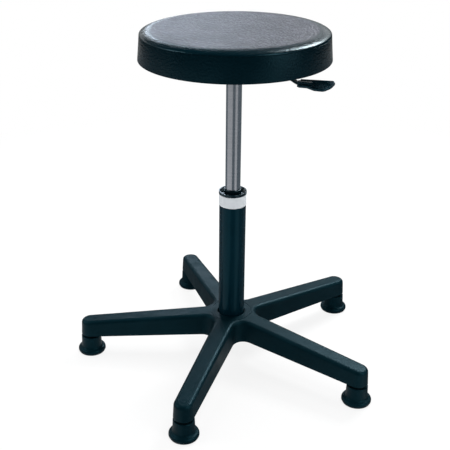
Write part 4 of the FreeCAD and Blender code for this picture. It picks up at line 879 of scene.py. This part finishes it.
# %% Recess for the board
BOARD_GAP = 0.5 * MILLIMETRE

select_only(end_face(-1), "FACE")
bpy.ops.mesh.inset(thickness=PAD_RADIUS - LOWER_ROUND - BOARD_RADIUS - BOARD_GAP, depth=0)
bpy.ops.mesh.extrude_region_move(TRANSFORM_OT_translate={"value": (0, 0, BOARD_TOP - PAD_BOTTOM)})
print("recess depth:", round(BOARD_TOP - PAD_BOTTOM, 4), "m")

# %% [markdown]
# Foam is moulded in two halves of a tool, which leave a fine line where they meet.  A bump would
# vanish from the outline, so it is cut: three close cuts round the side, the middle one drawn in.

# %% Mould line
LINE_HEIGHT = PAD_TOP - 8.2 * MILLIMETRE
LINE_HALF_WIDTH = 0.5 * MILLIMETRE
LINE_DEPTH = 0.8 * MILLIMETRE

for height in (LINE_HEIGHT - LINE_HALF_WIDTH, LINE_HEIGHT, LINE_HEIGHT + LINE_HALF_WIDTH):
    bpy.ops.mesh.select_all(action="SELECT")
    bpy.ops.mesh.bisect(plane_co=(0, 0, height), plane_no=(0, 0, 1))
select_only(point_at(LINE_HEIGHT))
draw_in = 1 - LINE_DEPTH / PAD_RADIUS
bpy.ops.transform.resize(value=(draw_in, draw_in, 1), center_override=(0, 0, 0))
bpy.ops.mesh.select_all(action="SELECT")
bpy.ops.mesh.normals_make_consistent(inside=False)
print("mould line at", round(LINE_HEIGHT, 4), "m")

# %% [markdown]
# The panel keeps the grained finish, and all that is steeper or further out gets the glossy one.
# The finished pad rides on the seat and stands for the CAD pad, which is hidden.

# %% Two finishes on one pad
PANEL_LEVEL = 0.9
SMOOTH_BELOW = math.radians(35)


def outside_panel(face):
    """A test for faces that are steeper or further out than the panel."""
    return face.normal.z < PANEL_LEVEL or face.calc_center_median().xy.length > FINISH_RADIUS


seat_cushion.data.materials.append(finishes["grained_upholstery"])
seat_cushion.data.materials.append(glossy_upholstery())
select_only(outside_panel, "FACE")
seat_cushion.active_material_index = 1
bpy.ops.object.material_slot_assign()
bpy.ops.object.mode_set(mode="OBJECT")
bpy.ops.object.shade_smooth_by_angle(angle=SMOOTH_BELOW)
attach(seat_cushion, "seat")
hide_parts("seat_pad")
print("pad faces:", len(seat_cushion.data.polygons), "size:", [round(v, 4) for v in seat_cushion.dimensions])

# %% [markdown]
# ## View
# A film-like view transform would turn the white paper grey.  The standard one shows each colour as
# it was mixed above.

# %% View
bpy.context.scene.view_settings.view_transform = "Standard"
print("view transform:", bpy.context.scene.view_settings.view_transform)
